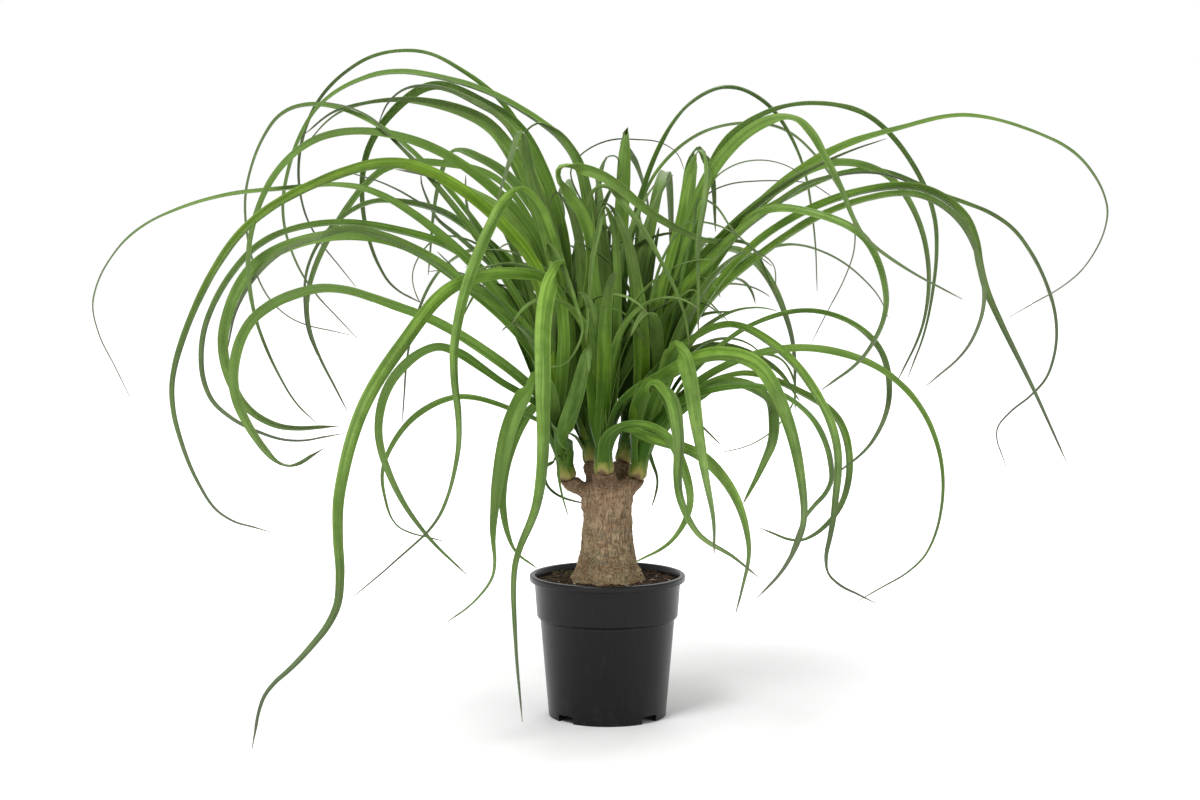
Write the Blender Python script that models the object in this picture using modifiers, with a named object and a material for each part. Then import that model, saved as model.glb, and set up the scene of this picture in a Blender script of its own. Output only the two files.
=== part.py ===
"""A ponytail palm in its nursery pot.

The pot stands on z = 0 with its axis on the Z axis. It holds potting soil, and the swollen
trunk stands in a pocket in the soil. Five leafy shoots grow from stubs on top of the trunk,
and every strap leaf is a keeled ribbon that rises from its seat on a shoot, arches over and
hangs down to a thread-like tip. Lengths are in metres and +Z is up.
"""
import math

import bmesh
import bpy
import numpy as np
from mathutils import Matrix, Vector
from mathutils.bvhtree import BVHTree

OBJECT_NAME = "potted_ponytail_palm"
GAP = 0.0003  # clearance between two pieces that touch
SLIVER = 0.0001  # added where a faceted round piece sits inside another

# Pot: a 13 cm nursery pot of thin blow-moulded plastic
POT_HEIGHT = 0.119
RIM_RADIUS = 0.065
RIM_BEAD_HEIGHT = 0.0055
WALL_RADIUS_TOP = 0.0609
WALL_RADIUS_ABOVE_STEP = 0.0588
WALL_RADIUS_BELOW_STEP = 0.0560
STEP_HEIGHT = 0.083
STEP_SLOPE = 0.0008
FOOT_RADIUS = 0.0491
WALL = 0.0016
STANDING_RING_WIDTH = 0.003
FLOOR_UNDERSIDE = 0.004
FLOOR_TOP = 0.0058
BEAD_CORNER = 0.0012
BEAD_FLARE = 0.0022  # how far the mouth opens out over the bead's height
POT_SEGMENTS = 48
NOTCH_WIDTH = 0.017
NOTCH_HEIGHT = 0.0065
NOTCH_DEPTH = 0.0065
NOTCH_OVERRUN = 0.004  # how far the cutter stands out of the wall
NOTCH_BEARINGS = (45, 135, 225, 315)

# Soil
SOIL_LEVEL = 0.1130
SOIL_CROWN = 0.0015  # how much higher the soil is beside the trunk
SOIL_CROWN_RADIUS = 0.044

# Trunk: height and radius, from the buried root crown up
TRUNK_SEGMENTS = 32
TRUNK_PROFILE = [
    (0.078, 0.018), (0.083, 0.026), (0.092, 0.032), (0.102, 0.0342), (0.1135, 0.0320),
    (0.1195, 0.0290), (0.1265, 0.0253), (0.136, 0.0230), (0.150, 0.0212), (0.168, 0.0202),
    (0.184, 0.0205), (0.194, 0.0200), (0.199, 0.0170),
]
POCKET_RIM = 0.1135  # height at which the soil closes round the trunk

# Shoots: seat on the trunk's top, direction of growth, and size against the largest one
SHOOT_SEGMENTS = 16
STUB_HEIGHT = 0.024
STUB_RADIUS = 0.0098
STUB_ROOT_RADIUS = 0.011
STUB_ROOT_INSET = 0.3  # a stub starts at this share of its seat's distance from the trunk's axis
SHOOT_PROFILE = [
    (0.0, 0.0088), (0.004, 0.0100), (0.010, 0.0106), (0.018, 0.0102), (0.028, 0.0088),
    (0.040, 0.0070), (0.052, 0.0052), (0.060, 0.0036),
]
SHOOTS = {
    "left": ((-0.0330, -0.0050, 0.1990), (-0.16, -0.05, 1.0), 0.95),
    "front": ((-0.0030, -0.0190, 0.2060), (-0.02, -0.12, 1.0), 1.0),
    "right": ((0.0235, -0.0050, 0.2000), (0.22, -0.04, 1.0), 0.95),
    "back_left": ((-0.0130, 0.0170, 0.2100), (-0.12, 0.14, 1.0), 0.85),
    "back_right": ((0.0130, 0.0180, 0.2100), (0.14, 0.16, 1.0), 0.85),
}
LOWEST_SEAT = 0.010
HIGHEST_SEAT = 0.055
SEAT_ROOM = math.radians(75)  # turn round the shoot that two leaf bases at one height need
SEAT_REACH = 0.016  # height over which that need fades away
SEAT_ROUNDS = 300
SEAT_PUSH = 0.2  # share of the missing room that each of the two seats gives way in a round

# Leaves
RINGS_PER_SPAN = 3
RISE_FROM_SEAT = 0.030  # how far a leaf follows its shoot before it heads for its first way-point
RISE_SHARE = 0.45  # and the most of that first stretch which it follows
LEAN_TO_WAY = 0.5  # share of the rise's direction taken from the first way-point
LOW_SPREAD = 0.4  # share of it that the lowest leaf takes outward; the highest takes none
TIP_WIDTH = 0.0012
KEEL_SHARE = 0.16  # depth of the keel against the width
TIP_KEEL = 0.0005
SEAT_WIDTH_SHARE = 0.5
FULL_WIDTH_AT = 0.14
TAPER_FROM = 0.40
TAPER_RUNS_TO = 1.25  # past the tip, so that the taper is still steep where the leaf ends
TURNED_AT = 0.3  # share of the length by which the blade has taken up its turn

# Leaves that touch lean apart in small steps until they are this far clear
LEAN_ROUNDS = 300
LEAN_STEP = 0.0006
SPARE = 0.00035
SPARE_SETS_IN = (-0.02, 0.1)  # shares of the length over which that clearance sets in
PUSH_SPREAD = 3.0  # how many rings along the leaf a push is felt
HELD_RINGS = 4.0  # rings above the seat over which the leaf is held back
CROSSING = 0.35  # sine of the angle above which two touching leaves cross rather than run together

# Each leaf: name, shoot, greatest width, turn of the blade in degrees at its base, middle and
# tip, and the way it takes from the shoot to its tip
LEAVES = [
    ("left_far_arch", "left", 0.009, (10, 35, 20), [
        (-0.085, -0.010, 0.345), (-0.140, -0.015, 0.405), (-0.200, -0.015, 0.440), (-0.265, -0.020, 0.440),
        (-0.330, -0.020, 0.430), (-0.390, -0.025, 0.400), (-0.420, -0.025, 0.345),
        (-0.390, -0.030, 0.270)]),
    ("left_wide_arch", "left", 0.010, (10, 50, 30), [
        (-0.050, -0.030, 0.360), (-0.105, -0.045, 0.430), (-0.165, -0.060, 0.460), (-0.230, -0.070, 0.445),
        (-0.290, -0.085, 0.405), (-0.335, -0.100, 0.320), (-0.340, -0.115, 0.270), (-0.305, -0.125, 0.190),
        (-0.260, -0.140, 0.175)]),
    ("left_back_loop", "back_left", 0.008, (0, 20, 10), [
        (-0.075, 0.030, 0.355), (-0.130, 0.040, 0.435), (-0.190, 0.055, 0.490), (-0.245, 0.065, 0.510),
        (-0.280, 0.075, 0.500), (-0.310, 0.085, 0.435), (-0.300, 0.100, 0.355), (-0.275, 0.110, 0.325),
        (-0.225, 0.120, 0.310)]),
    ("left_dark_arch", "left", 0.010, (10, 55, 40), [
        (-0.055, -0.010, 0.390), (-0.120, -0.015, 0.460), (-0.185, -0.020, 0.485), (-0.235, -0.025, 0.480),
        (-0.270, -0.030, 0.450), (-0.290, -0.035, 0.395), (-0.285, -0.040, 0.335), (-0.255, -0.045, 0.270),
        (-0.235, -0.050, 0.250)]),
    ("left_inner_arch", "back_left", 0.008, (10, 40, 20), [
        (-0.075, 0.010, 0.335), (-0.120, 0.015, 0.385), (-0.175, 0.020, 0.405), (-0.240, 0.030, 0.410),
        (-0.295, 0.035, 0.390), (-0.340, 0.040, 0.320), (-0.335, 0.045, 0.260), (-0.275, 0.055, 0.225),
        (-0.225, 0.060, 0.230)]),
    ("left_flat_tip", "left", 0.009, (10, 40, 60), [
        (-0.065, -0.020, 0.310), (-0.115, -0.020, 0.360), (-0.170, -0.020, 0.395), (-0.235, -0.020, 0.400),
        (-0.290, -0.020, 0.375), (-0.315, -0.020, 0.315), (-0.300, -0.020, 0.265), (-0.270, -0.020, 0.245),
        (-0.220, -0.020, 0.245)]),
    ("left_kinked", "left", 0.009, (10, 40, 60), [
        (-0.055, -0.030, 0.270), (-0.125, -0.040, 0.325), (-0.170, -0.045, 0.345), (-0.230, -0.050, 0.360),
        (-0.285, -0.060, 0.335), (-0.300, -0.065, 0.285), (-0.280, -0.075, 0.240), (-0.255, -0.085, 0.220),
        (-0.225, -0.090, 0.235)]),
    ("top_arch_left", "back_left", 0.009, (0, 25, 15), [
        (-0.035, 0.030, 0.380), (-0.080, 0.045, 0.500), (-0.125, 0.065, 0.540), (-0.160, 0.085, 0.555),
        (-0.205, 0.100, 0.550), (-0.250, 0.120, 0.515), (-0.270, 0.135, 0.465), (-0.265, 0.150, 0.410),
        (-0.225, 0.170, 0.350)]),
    ("top_broad_left", "front", 0.012, (20, 35, 15), [
        (-0.010, 0.0, 0.380), (-0.030, 0.010, 0.470), (-0.070, 0.020, 0.505), (-0.130, 0.030, 0.530),
        (-0.190, 0.040, 0.535), (-0.245, 0.050, 0.505), (-0.275, 0.060, 0.425), (-0.260, 0.070, 0.365),
        (-0.215, 0.080, 0.310)]),
    ("top_back_left", "back_left", 0.008, (0, 20, 0), [
        (-0.050, 0.050, 0.385), (-0.080, 0.085, 0.460), (-0.110, 0.120, 0.495), (-0.180, 0.150, 0.515),
        (-0.240, 0.185, 0.505), (-0.280, 0.220, 0.470)]),
    ("left_hook", "left", 0.011, (10, 40, 60), [
        (-0.035, 0.0, 0.395), (-0.070, 0.020, 0.485), (-0.105, 0.035, 0.510), (-0.145, 0.055, 0.525),
        (-0.175, 0.070, 0.510), (-0.205, 0.085, 0.470), (-0.210, 0.105, 0.410), (-0.190, 0.125, 0.355),
        (-0.160, 0.140, 0.335)]),
    ("left_short_dark", "back_left", 0.009, (10, 50, 50), [
        (-0.040, 0.040, 0.380), (-0.080, 0.065, 0.445), (-0.110, 0.090, 0.465), (-0.135, 0.120, 0.470),
        (-0.150, 0.145, 0.435), (-0.160, 0.170, 0.360)]),
    ("left_low_loop", "back_left", 0.008, (10, 30, 10), [
        (-0.050, 0.030, 0.380), (-0.090, 0.045, 0.445), (-0.140, 0.060, 0.460), (-0.190, 0.075, 0.455),
        (-0.235, 0.095, 0.405), (-0.260, 0.110, 0.350), (-0.260, 0.125, 0.310), (-0.230, 0.140, 0.240)]),
    ("front_left_long", "left", 0.011, (10, 60, 20), [
        (-0.040, -0.050, 0.360), (-0.075, -0.080, 0.375), (-0.120, -0.110, 0.365), (-0.155, -0.150, 0.325),
        (-0.185, -0.190, 0.275), (-0.200, -0.220, 0.210), (-0.200, -0.240, 0.135), (-0.225, -0.255, 0.100),
        (-0.250, -0.265, 0.075), (-0.260, -0.265, 0.035)]),
    ("front_left_drop", "left", 0.009, (10, 60, 30), [
        (-0.045, -0.030, 0.380), (-0.075, -0.060, 0.440), (-0.105, -0.100, 0.385), (-0.120, -0.130, 0.315),
        (-0.115, -0.150, 0.245), (-0.130, -0.160, 0.190), (-0.160, -0.170, 0.160),
        (-0.195, -0.170, 0.130)]),
    ("low_left_dark", "left", 0.009, (10, 50, 40), [
        (-0.055, -0.030, 0.260), (-0.085, -0.060, 0.285), (-0.135, -0.080, 0.315), (-0.170, -0.100, 0.290),
        (-0.180, -0.110, 0.250), (-0.165, -0.120, 0.205), (-0.140, -0.130, 0.170),
        (-0.110, -0.130, 0.140)]),
    ("low_left_thin", "back_left", 0.007, (10, 40, 10), [
        (-0.050, 0.010, 0.240), (-0.080, 0.020, 0.255), (-0.125, 0.025, 0.265), (-0.165, 0.035, 0.245),
        (-0.190, 0.045, 0.205), (-0.190, 0.055, 0.175), (-0.180, 0.060, 0.150), (-0.140, 0.070, 0.135)]),
    ("low_left_twist", "left", 0.013, (20, 70, 20), [
        (-0.055, -0.060, 0.290), (-0.075, -0.090, 0.260), (-0.085, -0.110, 0.220), (-0.090, -0.120, 0.175),
        (-0.090, -0.130, 0.140), (-0.105, -0.140, 0.120), (-0.125, -0.140, 0.105)]),
    ("low_left_behind", "back_left", 0.009, (20, 60, 20), [
        (-0.055, 0.030, 0.260), (-0.080, 0.050, 0.225), (-0.090, 0.060, 0.175), (-0.080, 0.060, 0.130),
        (-0.060, 0.050, 0.115)]),
    ("front_fold_left", "left", 0.013, (0, 10, 10), [
        (-0.035, -0.040, 0.340), (-0.040, -0.060, 0.380), (-0.050, -0.110, 0.345), (-0.050, -0.150, 0.295),
        (-0.050, -0.170, 0.235), (-0.055, -0.180, 0.200), (-0.070, -0.190, 0.160), (-0.070, -0.200, 0.105),
        (-0.065, -0.200, 0.040)]),
    ("front_blade", "left", 0.013, (-20, -10, 0), [
        (-0.035, -0.035, 0.235), (-0.025, -0.050, 0.275), (-0.015, -0.060, 0.315), (-0.015, -0.070, 0.310),
        (-0.015, -0.085, 0.295)]),
    ("upright_back", "front", 0.013, (0, 0, 0), [
        (0.0, 0.0, 0.325), (0.010, 0.020, 0.395), (0.015, 0.040, 0.485), (0.015, 0.060, 0.475),
        (0.025, 0.100, 0.460), (0.035, 0.150, 0.430), (0.040, 0.180, 0.400)]),
    ("upright_right", "right", 0.014, (0, 0, 0), [
        (0.055, 0.020, 0.340), (0.065, 0.040, 0.405), (0.075, 0.060, 0.470), (0.090, 0.100, 0.450),
        (0.095, 0.130, 0.400)]),
    ("cross_over", "front", 0.010, (10, 30, 20), [
        (-0.030, -0.030, 0.350), (-0.040, -0.040, 0.420), (-0.040, -0.050, 0.455), (-0.005, -0.060, 0.450),
        (0.035, -0.050, 0.420), (0.075, -0.030, 0.400), (0.115, 0.0, 0.395), (0.140, 0.020, 0.350)]),
    ("front_fold_right", "right", 0.013, (0, 10, 20), [
        (0.045, -0.030, 0.285), (0.055, -0.050, 0.315), (0.065, -0.090, 0.295), (0.070, -0.130, 0.255),
        (0.075, -0.160, 0.220), (0.080, -0.180, 0.190), (0.080, -0.190, 0.165)]),
    ("front_drop_right", "right", 0.011, (0, 10, 60), [
        (0.035, -0.060, 0.285), (0.050, -0.090, 0.275), (0.055, -0.120, 0.245), (0.055, -0.140, 0.205),
        (0.070, -0.150, 0.175), (0.095, -0.160, 0.160), (0.115, -0.170, 0.145)]),
    ("front_curl_in", "front", 0.008, (0, 30, 40), [
        (0.020, -0.060, 0.250), (0.045, -0.080, 0.245), (0.060, -0.100, 0.220), (0.065, -0.100, 0.190),
        (0.050, -0.090, 0.160), (0.020, -0.075, 0.140)]),
    ("front_low_right", "front", 0.010, (0, 40, 30), [
        (0.015, -0.045, 0.245), (0.040, -0.070, 0.240), (0.075, -0.100, 0.230), (0.100, -0.120, 0.200),
        (0.110, -0.130, 0.160), (0.105, -0.130, 0.130), (0.100, -0.130, 0.110)]),
    ("right_far_loop", "right", 0.009, (10, 40, 20), [
        (0.075, 0.010, 0.355), (0.125, 0.015, 0.425), (0.185, 0.020, 0.470), (0.245, 0.025, 0.490),
        (0.295, 0.030, 0.500), (0.345, 0.030, 0.490), (0.395, 0.035, 0.465), (0.420, 0.040, 0.420),
        (0.400, 0.045, 0.370), (0.340, 0.050, 0.330)]),
    ("right_tall_arch", "right", 0.010, (10, 25, 20), [
        (0.070, 0.020, 0.380), (0.080, 0.030, 0.440), (0.100, 0.035, 0.480), (0.140, 0.045, 0.505),
        (0.180, 0.050, 0.510), (0.220, 0.060, 0.500), (0.255, 0.065, 0.465), (0.280, 0.075, 0.410),
        (0.275, 0.080, 0.325), (0.260, 0.090, 0.275)]),
    ("right_inner_bow", "right", 0.009, (10, 30, 20), [
        (0.075, 0.0, 0.370), (0.125, 0.0, 0.425), (0.185, 0.0, 0.460), (0.230, 0.0, 0.450),
        (0.255, 0.0, 0.415), (0.265, 0.0, 0.370), (0.260, 0.0, 0.325), (0.240, 0.0, 0.280)]),
    ("right_long_fall", "right", 0.010, (10, 45, 20), [
        (0.080, -0.010, 0.350), (0.125, -0.015, 0.400), (0.195, -0.025, 0.435), (0.255, -0.030, 0.440),
        (0.290, -0.040, 0.415), (0.305, -0.045, 0.360), (0.345, -0.055, 0.275), (0.370, -0.060, 0.220)]),
    ("right_thin_far", "back_right", 0.007, (10, 35, 15), [
        (0.075, 0.030, 0.375), (0.155, 0.040, 0.435), (0.220, 0.050, 0.455), (0.280, 0.060, 0.435),
        (0.345, 0.070, 0.405), (0.385, 0.080, 0.330), (0.380, 0.090, 0.275), (0.340, 0.100, 0.230),
        (0.350, 0.110, 0.195)]),
    ("right_branch", "right", 0.009, (10, 45, 10), [
        (0.075, 0.010, 0.335), (0.125, -0.005, 0.385), (0.190, -0.020, 0.425), (0.250, -0.035, 0.435),
        (0.285, -0.055, 0.410), (0.300, -0.070, 0.355), (0.285, -0.085, 0.315), (0.250, -0.100, 0.285)]),
    ("top_arch_right", "back_right", 0.009, (0, 25, 10), [
        (0.015, 0.040, 0.370), (0.040, 0.060, 0.465), (0.070, 0.085, 0.510), (0.105, 0.105, 0.525),
        (0.140, 0.125, 0.510), (0.170, 0.145, 0.465), (0.185, 0.170, 0.400), (0.190, 0.190, 0.345)]),
    ("right_twist", "front", 0.011, (10, 35, 40), [
        (0.055, -0.020, 0.380), (0.085, -0.035, 0.455), (0.120, -0.050, 0.490), (0.150, -0.065, 0.495),
        (0.180, -0.075, 0.450), (0.200, -0.090, 0.405), (0.230, -0.105, 0.380), (0.275, -0.120, 0.355)]),
    ("right_curl_in", "right", 0.008, (10, 45, 20), [
        (0.090, 0.0, 0.380), (0.125, -0.020, 0.420), (0.165, -0.045, 0.420), (0.205, -0.065, 0.400),
        (0.220, -0.085, 0.350), (0.200, -0.110, 0.310), (0.165, -0.130, 0.285)]),
    ("back_thin_right", "back_right", 0.006, (0, 20, 10), [
        (0.030, 0.060, 0.430), (0.070, 0.090, 0.480), (0.120, 0.120, 0.495), (0.165, 0.150, 0.485),
        (0.215, 0.180, 0.425), (0.225, 0.210, 0.380), (0.190, 0.240, 0.295)]),
    ("back_round_right", "back_right", 0.006, (0, 20, 10), [
        (0.080, 0.050, 0.355), (0.120, 0.080, 0.380), (0.160, 0.105, 0.390), (0.205, 0.135, 0.375),
        (0.240, 0.160, 0.345), (0.255, 0.190, 0.320)]),
    ("right_low_arch", "right", 0.009, (10, 50, 40), [
        (0.070, -0.010, 0.285), (0.115, -0.015, 0.325), (0.160, -0.015, 0.340), (0.200, -0.020, 0.330),
        (0.225, -0.020, 0.305), (0.230, -0.025, 0.265), (0.215, -0.025, 0.230), (0.185, -0.030, 0.205)]),
    ("right_wide_fall", "right", 0.010, (10, 45, 20), [
        (0.075, -0.020, 0.280), (0.125, -0.030, 0.305), (0.170, -0.035, 0.310), (0.220, -0.045, 0.295),
        (0.255, -0.055, 0.260), (0.270, -0.065, 0.205), (0.255, -0.070, 0.145), (0.200, -0.080, 0.110)]),
    ("right_front_fall", "front", 0.010, (10, 50, 30), [
        (0.060, -0.040, 0.310), (0.100, -0.060, 0.330), (0.140, -0.075, 0.310), (0.170, -0.095, 0.270),
        (0.180, -0.115, 0.235), (0.175, -0.135, 0.185), (0.170, -0.150, 0.145), (0.205, -0.170, 0.125)]),
    ("right_behind_fall", "back_right", 0.009, (10, 45, 30), [
        (0.070, 0.020, 0.270), (0.115, 0.025, 0.285), (0.160, 0.030, 0.270), (0.195, 0.035, 0.245),
        (0.205, 0.035, 0.205), (0.195, 0.040, 0.165), (0.165, 0.045, 0.140), (0.130, 0.050, 0.150)]),
    ("right_broad_drop", "front", 0.012, (0, 50, 20), [
        (0.045, -0.050, 0.290), (0.080, -0.080, 0.310), (0.115, -0.120, 0.305), (0.135, -0.160, 0.270),
        (0.145, -0.190, 0.225), (0.145, -0.210, 0.190), (0.130, -0.220, 0.160), (0.110, -0.230, 0.140)]),
    ("right_dark_drop", "right", 0.009, (10, 55, 40), [
        (0.065, -0.030, 0.270), (0.125, -0.050, 0.280), (0.165, -0.080, 0.255), (0.175, -0.110, 0.210),
        (0.155, -0.120, 0.185), (0.140, -0.130, 0.150)]),
    ("right_short_hook", "right", 0.009, (10, 50, 50), [
        (0.065, -0.010, 0.265), (0.095, -0.020, 0.285), (0.130, -0.030, 0.270), (0.135, -0.040, 0.240),
        (0.125, -0.050, 0.215), (0.110, -0.050, 0.185)]),
    ("back_left_high", "back_left", 0.009, (0, 20, 10), [
        (-0.020, 0.060, 0.350), (-0.030, 0.120, 0.430), (-0.040, 0.190, 0.440), (-0.050, 0.245, 0.380),
        (-0.050, 0.265, 0.290)]),
    ("back_mid", "back_left", 0.009, (0, 10, 10), [
        (0.0, 0.070, 0.330), (0.0, 0.130, 0.380), (0.005, 0.200, 0.360), (0.0, 0.250, 0.300),
        (0.0, 0.265, 0.240)]),
    ("back_right_high", "back_right", 0.009, (0, 20, 10), [
        (0.030, 0.060, 0.360), (0.045, 0.120, 0.440), (0.055, 0.190, 0.450), (0.060, 0.250, 0.390),
        (0.060, 0.265, 0.310)]),
    ("back_right_low", "back_right", 0.009, (0, 20, 20), [
        (0.025, 0.055, 0.300), (0.045, 0.100, 0.325), (0.055, 0.170, 0.310), (0.050, 0.220, 0.270),
        (0.045, 0.250, 0.245)]),
    ("back_left_wide", "back_left", 0.009, (0, 30, 20), [
        (-0.050, 0.060, 0.340), (-0.100, 0.120, 0.385), (-0.150, 0.180, 0.365), (-0.180, 0.220, 0.300),
        (-0.190, 0.240, 0.220)]),
    ("back_right_wide", "back_right", 0.009, (0, 30, 20), [
        (0.050, 0.060, 0.340), (0.100, 0.120, 0.385), (0.140, 0.180, 0.365), (0.170, 0.220, 0.300),
        (0.175, 0.240, 0.230)]),
]


def clear_scene():
    for item in list(bpy.data.objects):
        bpy.data.objects.remove(item, do_unlink=True)


def new_collection(name):
    collection = bpy.data.collections.new(name)
    bpy.context.scene.collection.children.link(collection)
    return collection


def principled(name, colour, roughness):
    material = bpy.data.materials.new(name)
    material.use_nodes = True
    shader = material.node_tree.nodes["Principled BSDF"]
    shader.inputs["Base Color"].default_value = (*colour, 1.0)
    shader.inputs["Roughness"].default_value = roughness
    shader.inputs["Metallic"].default_value = 0.0
    return material


def add_object(name, mesh, collection, material):
    item = bpy.data.objects.new(name, mesh)
    item.data.materials.append(material)
    collection.objects.link(item)
    return item


def turned(name, profile, segments, collection, material):
    """A solid of revolution; the profile runs down its outer side and ends on the axis."""
    mesh = bpy.data.meshes.new(name)
    vertices = [(radius, 0.0, height) for height, radius in profile]
    edges = [(i, i + 1) for i in range(len(vertices) - 1)]
    mesh.from_pydata(vertices, edges, [])
    item = add_object(name, mesh, collection, material)
    screw = item.modifiers.new("Screw", "SCREW")
    screw.steps = segments
    screw.render_steps = segments
    screw.use_merge_vertices = True
    screw.merge_threshold = 0.00001
    return item


def evaluated_mesh(item):
    depsgraph = bpy.context.evaluated_depsgraph_get()
    return bpy.data.meshes.new_from_object(item.evaluated_get(depsgraph))


def add_boolean(item, cutter, operation):
    boolean = item.modifiers.new(operation.title(), "BOOLEAN")
    boolean.operation = operation
    boolean.object = cutter
    boolean.solver = "EXACT"


def move_to_collection(item, collection):
    for present in list(item.users_collection):
        present.objects.unlink(item)
    collection.objects.link(item)


def hide_cutter(item):
    item.hide_render = True
    item.display_type = "WIRE"


def wall_radius(height):
    """Outer radius of the pot's wall."""
    if height > STEP_HEIGHT:
        share = (height - STEP_HEIGHT) / (POT_HEIGHT - RIM_BEAD_HEIGHT - STEP_HEIGHT)
        return WALL_RADIUS_ABOVE_STEP + share * (WALL_RADIUS_TOP - WALL_RADIUS_ABOVE_STEP)
    return FOOT_RADIUS + height / STEP_HEIGHT * (WALL_RADIUS_BELOW_STEP - FOOT_RADIUS)


def build_pot(parts, cutters):
    bead_bottom = POT_HEIGHT - RIM_BEAD_HEIGHT
    step_top = STEP_HEIGHT + STEP_SLOPE
    inner_top = WALL_RADIUS_TOP - WALL
    profile = [
        (FLOOR_TOP, 0.0),
        (FLOOR_TOP, wall_radius(FLOOR_TOP) - WALL),
        (STEP_HEIGHT, WALL_RADIUS_BELOW_STEP - WALL),
        (step_top, WALL_RADIUS_ABOVE_STEP - WALL),
        (bead_bottom, inner_top),
        (POT_HEIGHT - BEAD_CORNER, inner_top + 0.4 * BEAD_FLARE),
        (POT_HEIGHT, inner_top + BEAD_FLARE),
        (POT_HEIGHT, RIM_RADIUS - BEAD_CORNER),
        (POT_HEIGHT - BEAD_CORNER, RIM_RADIUS),
        (bead_bottom + BEAD_CORNER, RIM_RADIUS),
        (bead_bottom, RIM_RADIUS - BEAD_CORNER),
        (bead_bottom, WALL_RADIUS_TOP),
        (step_top, WALL_RADIUS_ABOVE_STEP),
        (STEP_HEIGHT, WALL_RADIUS_BELOW_STEP),
        (0.0, FOOT_RADIUS),
        (0.0, FOOT_RADIUS - STANDING_RING_WIDTH),
        (FLOOR_UNDERSIDE, FOOT_RADIUS - STANDING_RING_WIDTH),
        (FLOOR_UNDERSIDE, 0.0),
    ]
    plastic = principled("pot_plastic", (0.02, 0.02, 0.022), 0.45)
    pot = turned("nursery_pot", profile, POT_SEGMENTS, parts, plastic)
    for bearing in NOTCH_BEARINGS:
        bpy.ops.mesh.primitive_cube_add(size=1.0)
        notch = bpy.context.object
        notch.name = f"drain_notch_{bearing}"
        reach = NOTCH_DEPTH + NOTCH_OVERRUN
        centre = FOOT_RADIUS - NOTCH_DEPTH + reach / 2
        size = Matrix.Diagonal((reach, NOTCH_WIDTH, 2 * NOTCH_HEIGHT, 1.0))
        turn = Matrix.Rotation(math.radians(bearing), 4, "Z")
        notch.data.transform(turn @ Matrix.Translation((centre, 0.0, 0.0)) @ size)
        move_to_collection(notch, cutters)
        hide_cutter(notch)
        add_boolean(pot, notch, "DIFFERENCE")


def build_soil(parts):
    clearance = WALL + GAP + SLIVER
    bottom = FLOOR_TOP + GAP
    buried = [(height, radius) for height, radius in TRUNK_PROFILE if height < POCKET_RIM]
    pocket = [(height - GAP, radius + GAP + SLIVER) for height, radius in buried]
    profile = [(pocket[0][0], 0.0)] + pocket
    profile += [
        (SOIL_LEVEL + SOIL_CROWN, TRUNK_PROFILE[len(buried)][1] + GAP + SLIVER),
        (SOIL_LEVEL + SOIL_CROWN, SOIL_CROWN_RADIUS),
        (SOIL_LEVEL, wall_radius(SOIL_LEVEL) - clearance),
        (STEP_HEIGHT + STEP_SLOPE + GAP, WALL_RADIUS_ABOVE_STEP - clearance),
        (STEP_HEIGHT + GAP, WALL_RADIUS_BELOW_STEP - clearance),
        (bottom, wall_radius(bottom) - clearance),
        (bottom, 0.0),
    ]
    earth = principled("potting_soil", (0.045, 0.028, 0.018), 0.95)
    turned("potting_soil", profile, POT_SEGMENTS, parts, earth)


def growth_axis(shoot):
    seat, direction, size = SHOOTS[shoot]
    return Vector(seat), Vector(direction).normalized(), size


def along_axis(shoot, height):
    """Transform that stands a piece on the shoot's axis, so far above the stub."""
    seat, axis, size = growth_axis(shoot)
    turn = Vector((0.0, 0.0, 1.0)).rotation_difference(axis)
    return Matrix.LocRotScale(seat + axis * height, turn, None)


def build_trunk(parts, cutters):
    """The turned trunk, joined to one stub for each shoot; a stub leans out to its shoot's seat."""
    bark = principled("trunk_bark", (0.30, 0.22, 0.16), 0.9)
    profile = [(TRUNK_PROFILE[-1][0], 0.0)] + TRUNK_PROFILE[::-1] + [(TRUNK_PROFILE[0][0], 0.0)]
    trunk = turned("trunk", profile, TRUNK_SEGMENTS, parts, bark)
    for shoot in SHOOTS:
        seat, axis, size = growth_axis(shoot)
        bpy.ops.mesh.primitive_cone_add(
            vertices=SHOOT_SEGMENTS, radius1=STUB_ROOT_RADIUS, radius2=STUB_RADIUS * size,
            depth=STUB_HEIGHT)
        stub = bpy.context.object
        stub.name = f"stub_{shoot}"
        root_ring = [vertex.index for vertex in stub.data.vertices if vertex.co.z < 0]
        stub.data.transform(along_axis(shoot, -STUB_HEIGHT / 2))
        root = Vector((seat.x * STUB_ROOT_INSET, seat.y * STUB_ROOT_INSET, seat.z - STUB_HEIGHT))
        shift = root - (seat - axis * STUB_HEIGHT)
        for index in root_ring:
            stub.data.vertices[index].co += shift
        move_to_collection(stub, cutters)
        hide_cutter(stub)
        add_boolean(trunk, stub, "UNION")
    return trunk


def build_shoots(parts):
    sheath = principled("shoot_sheath", (0.42, 0.45, 0.14), 0.55)
    shoots = {}
    for shoot in SHOOTS:
        size = SHOOTS[shoot][2]
        outline = [(height, radius * size) for height, radius in SHOOT_PROFILE]
        profile = [(outline[-1][0], 0.0)] + outline[::-1] + [(0.0, 0.0)]
        item = turned(f"shoot_{shoot}", profile, SHOOT_SEGMENTS, parts, sheath)
        mesh = evaluated_mesh(item)
        mesh.transform(along_axis(shoot, GAP))
        item.modifiers.clear()
        item.data = mesh
        shoots[shoot] = item
    return shoots


def smooth_share(value, start, end):
    share = min(max((value - start) / (end - start), 0.0), 1.0)
    return share * share * (3.0 - 2.0 * share)


def shoot_radius(shoot, height):
    size = SHOOTS[shoot][2]
    heights = [h for h, radius in SHOOT_PROFILE]
    radii = [radius * size for h, radius in SHOOT_PROFILE]
    return float(np.interp(height, heights, radii))


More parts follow.
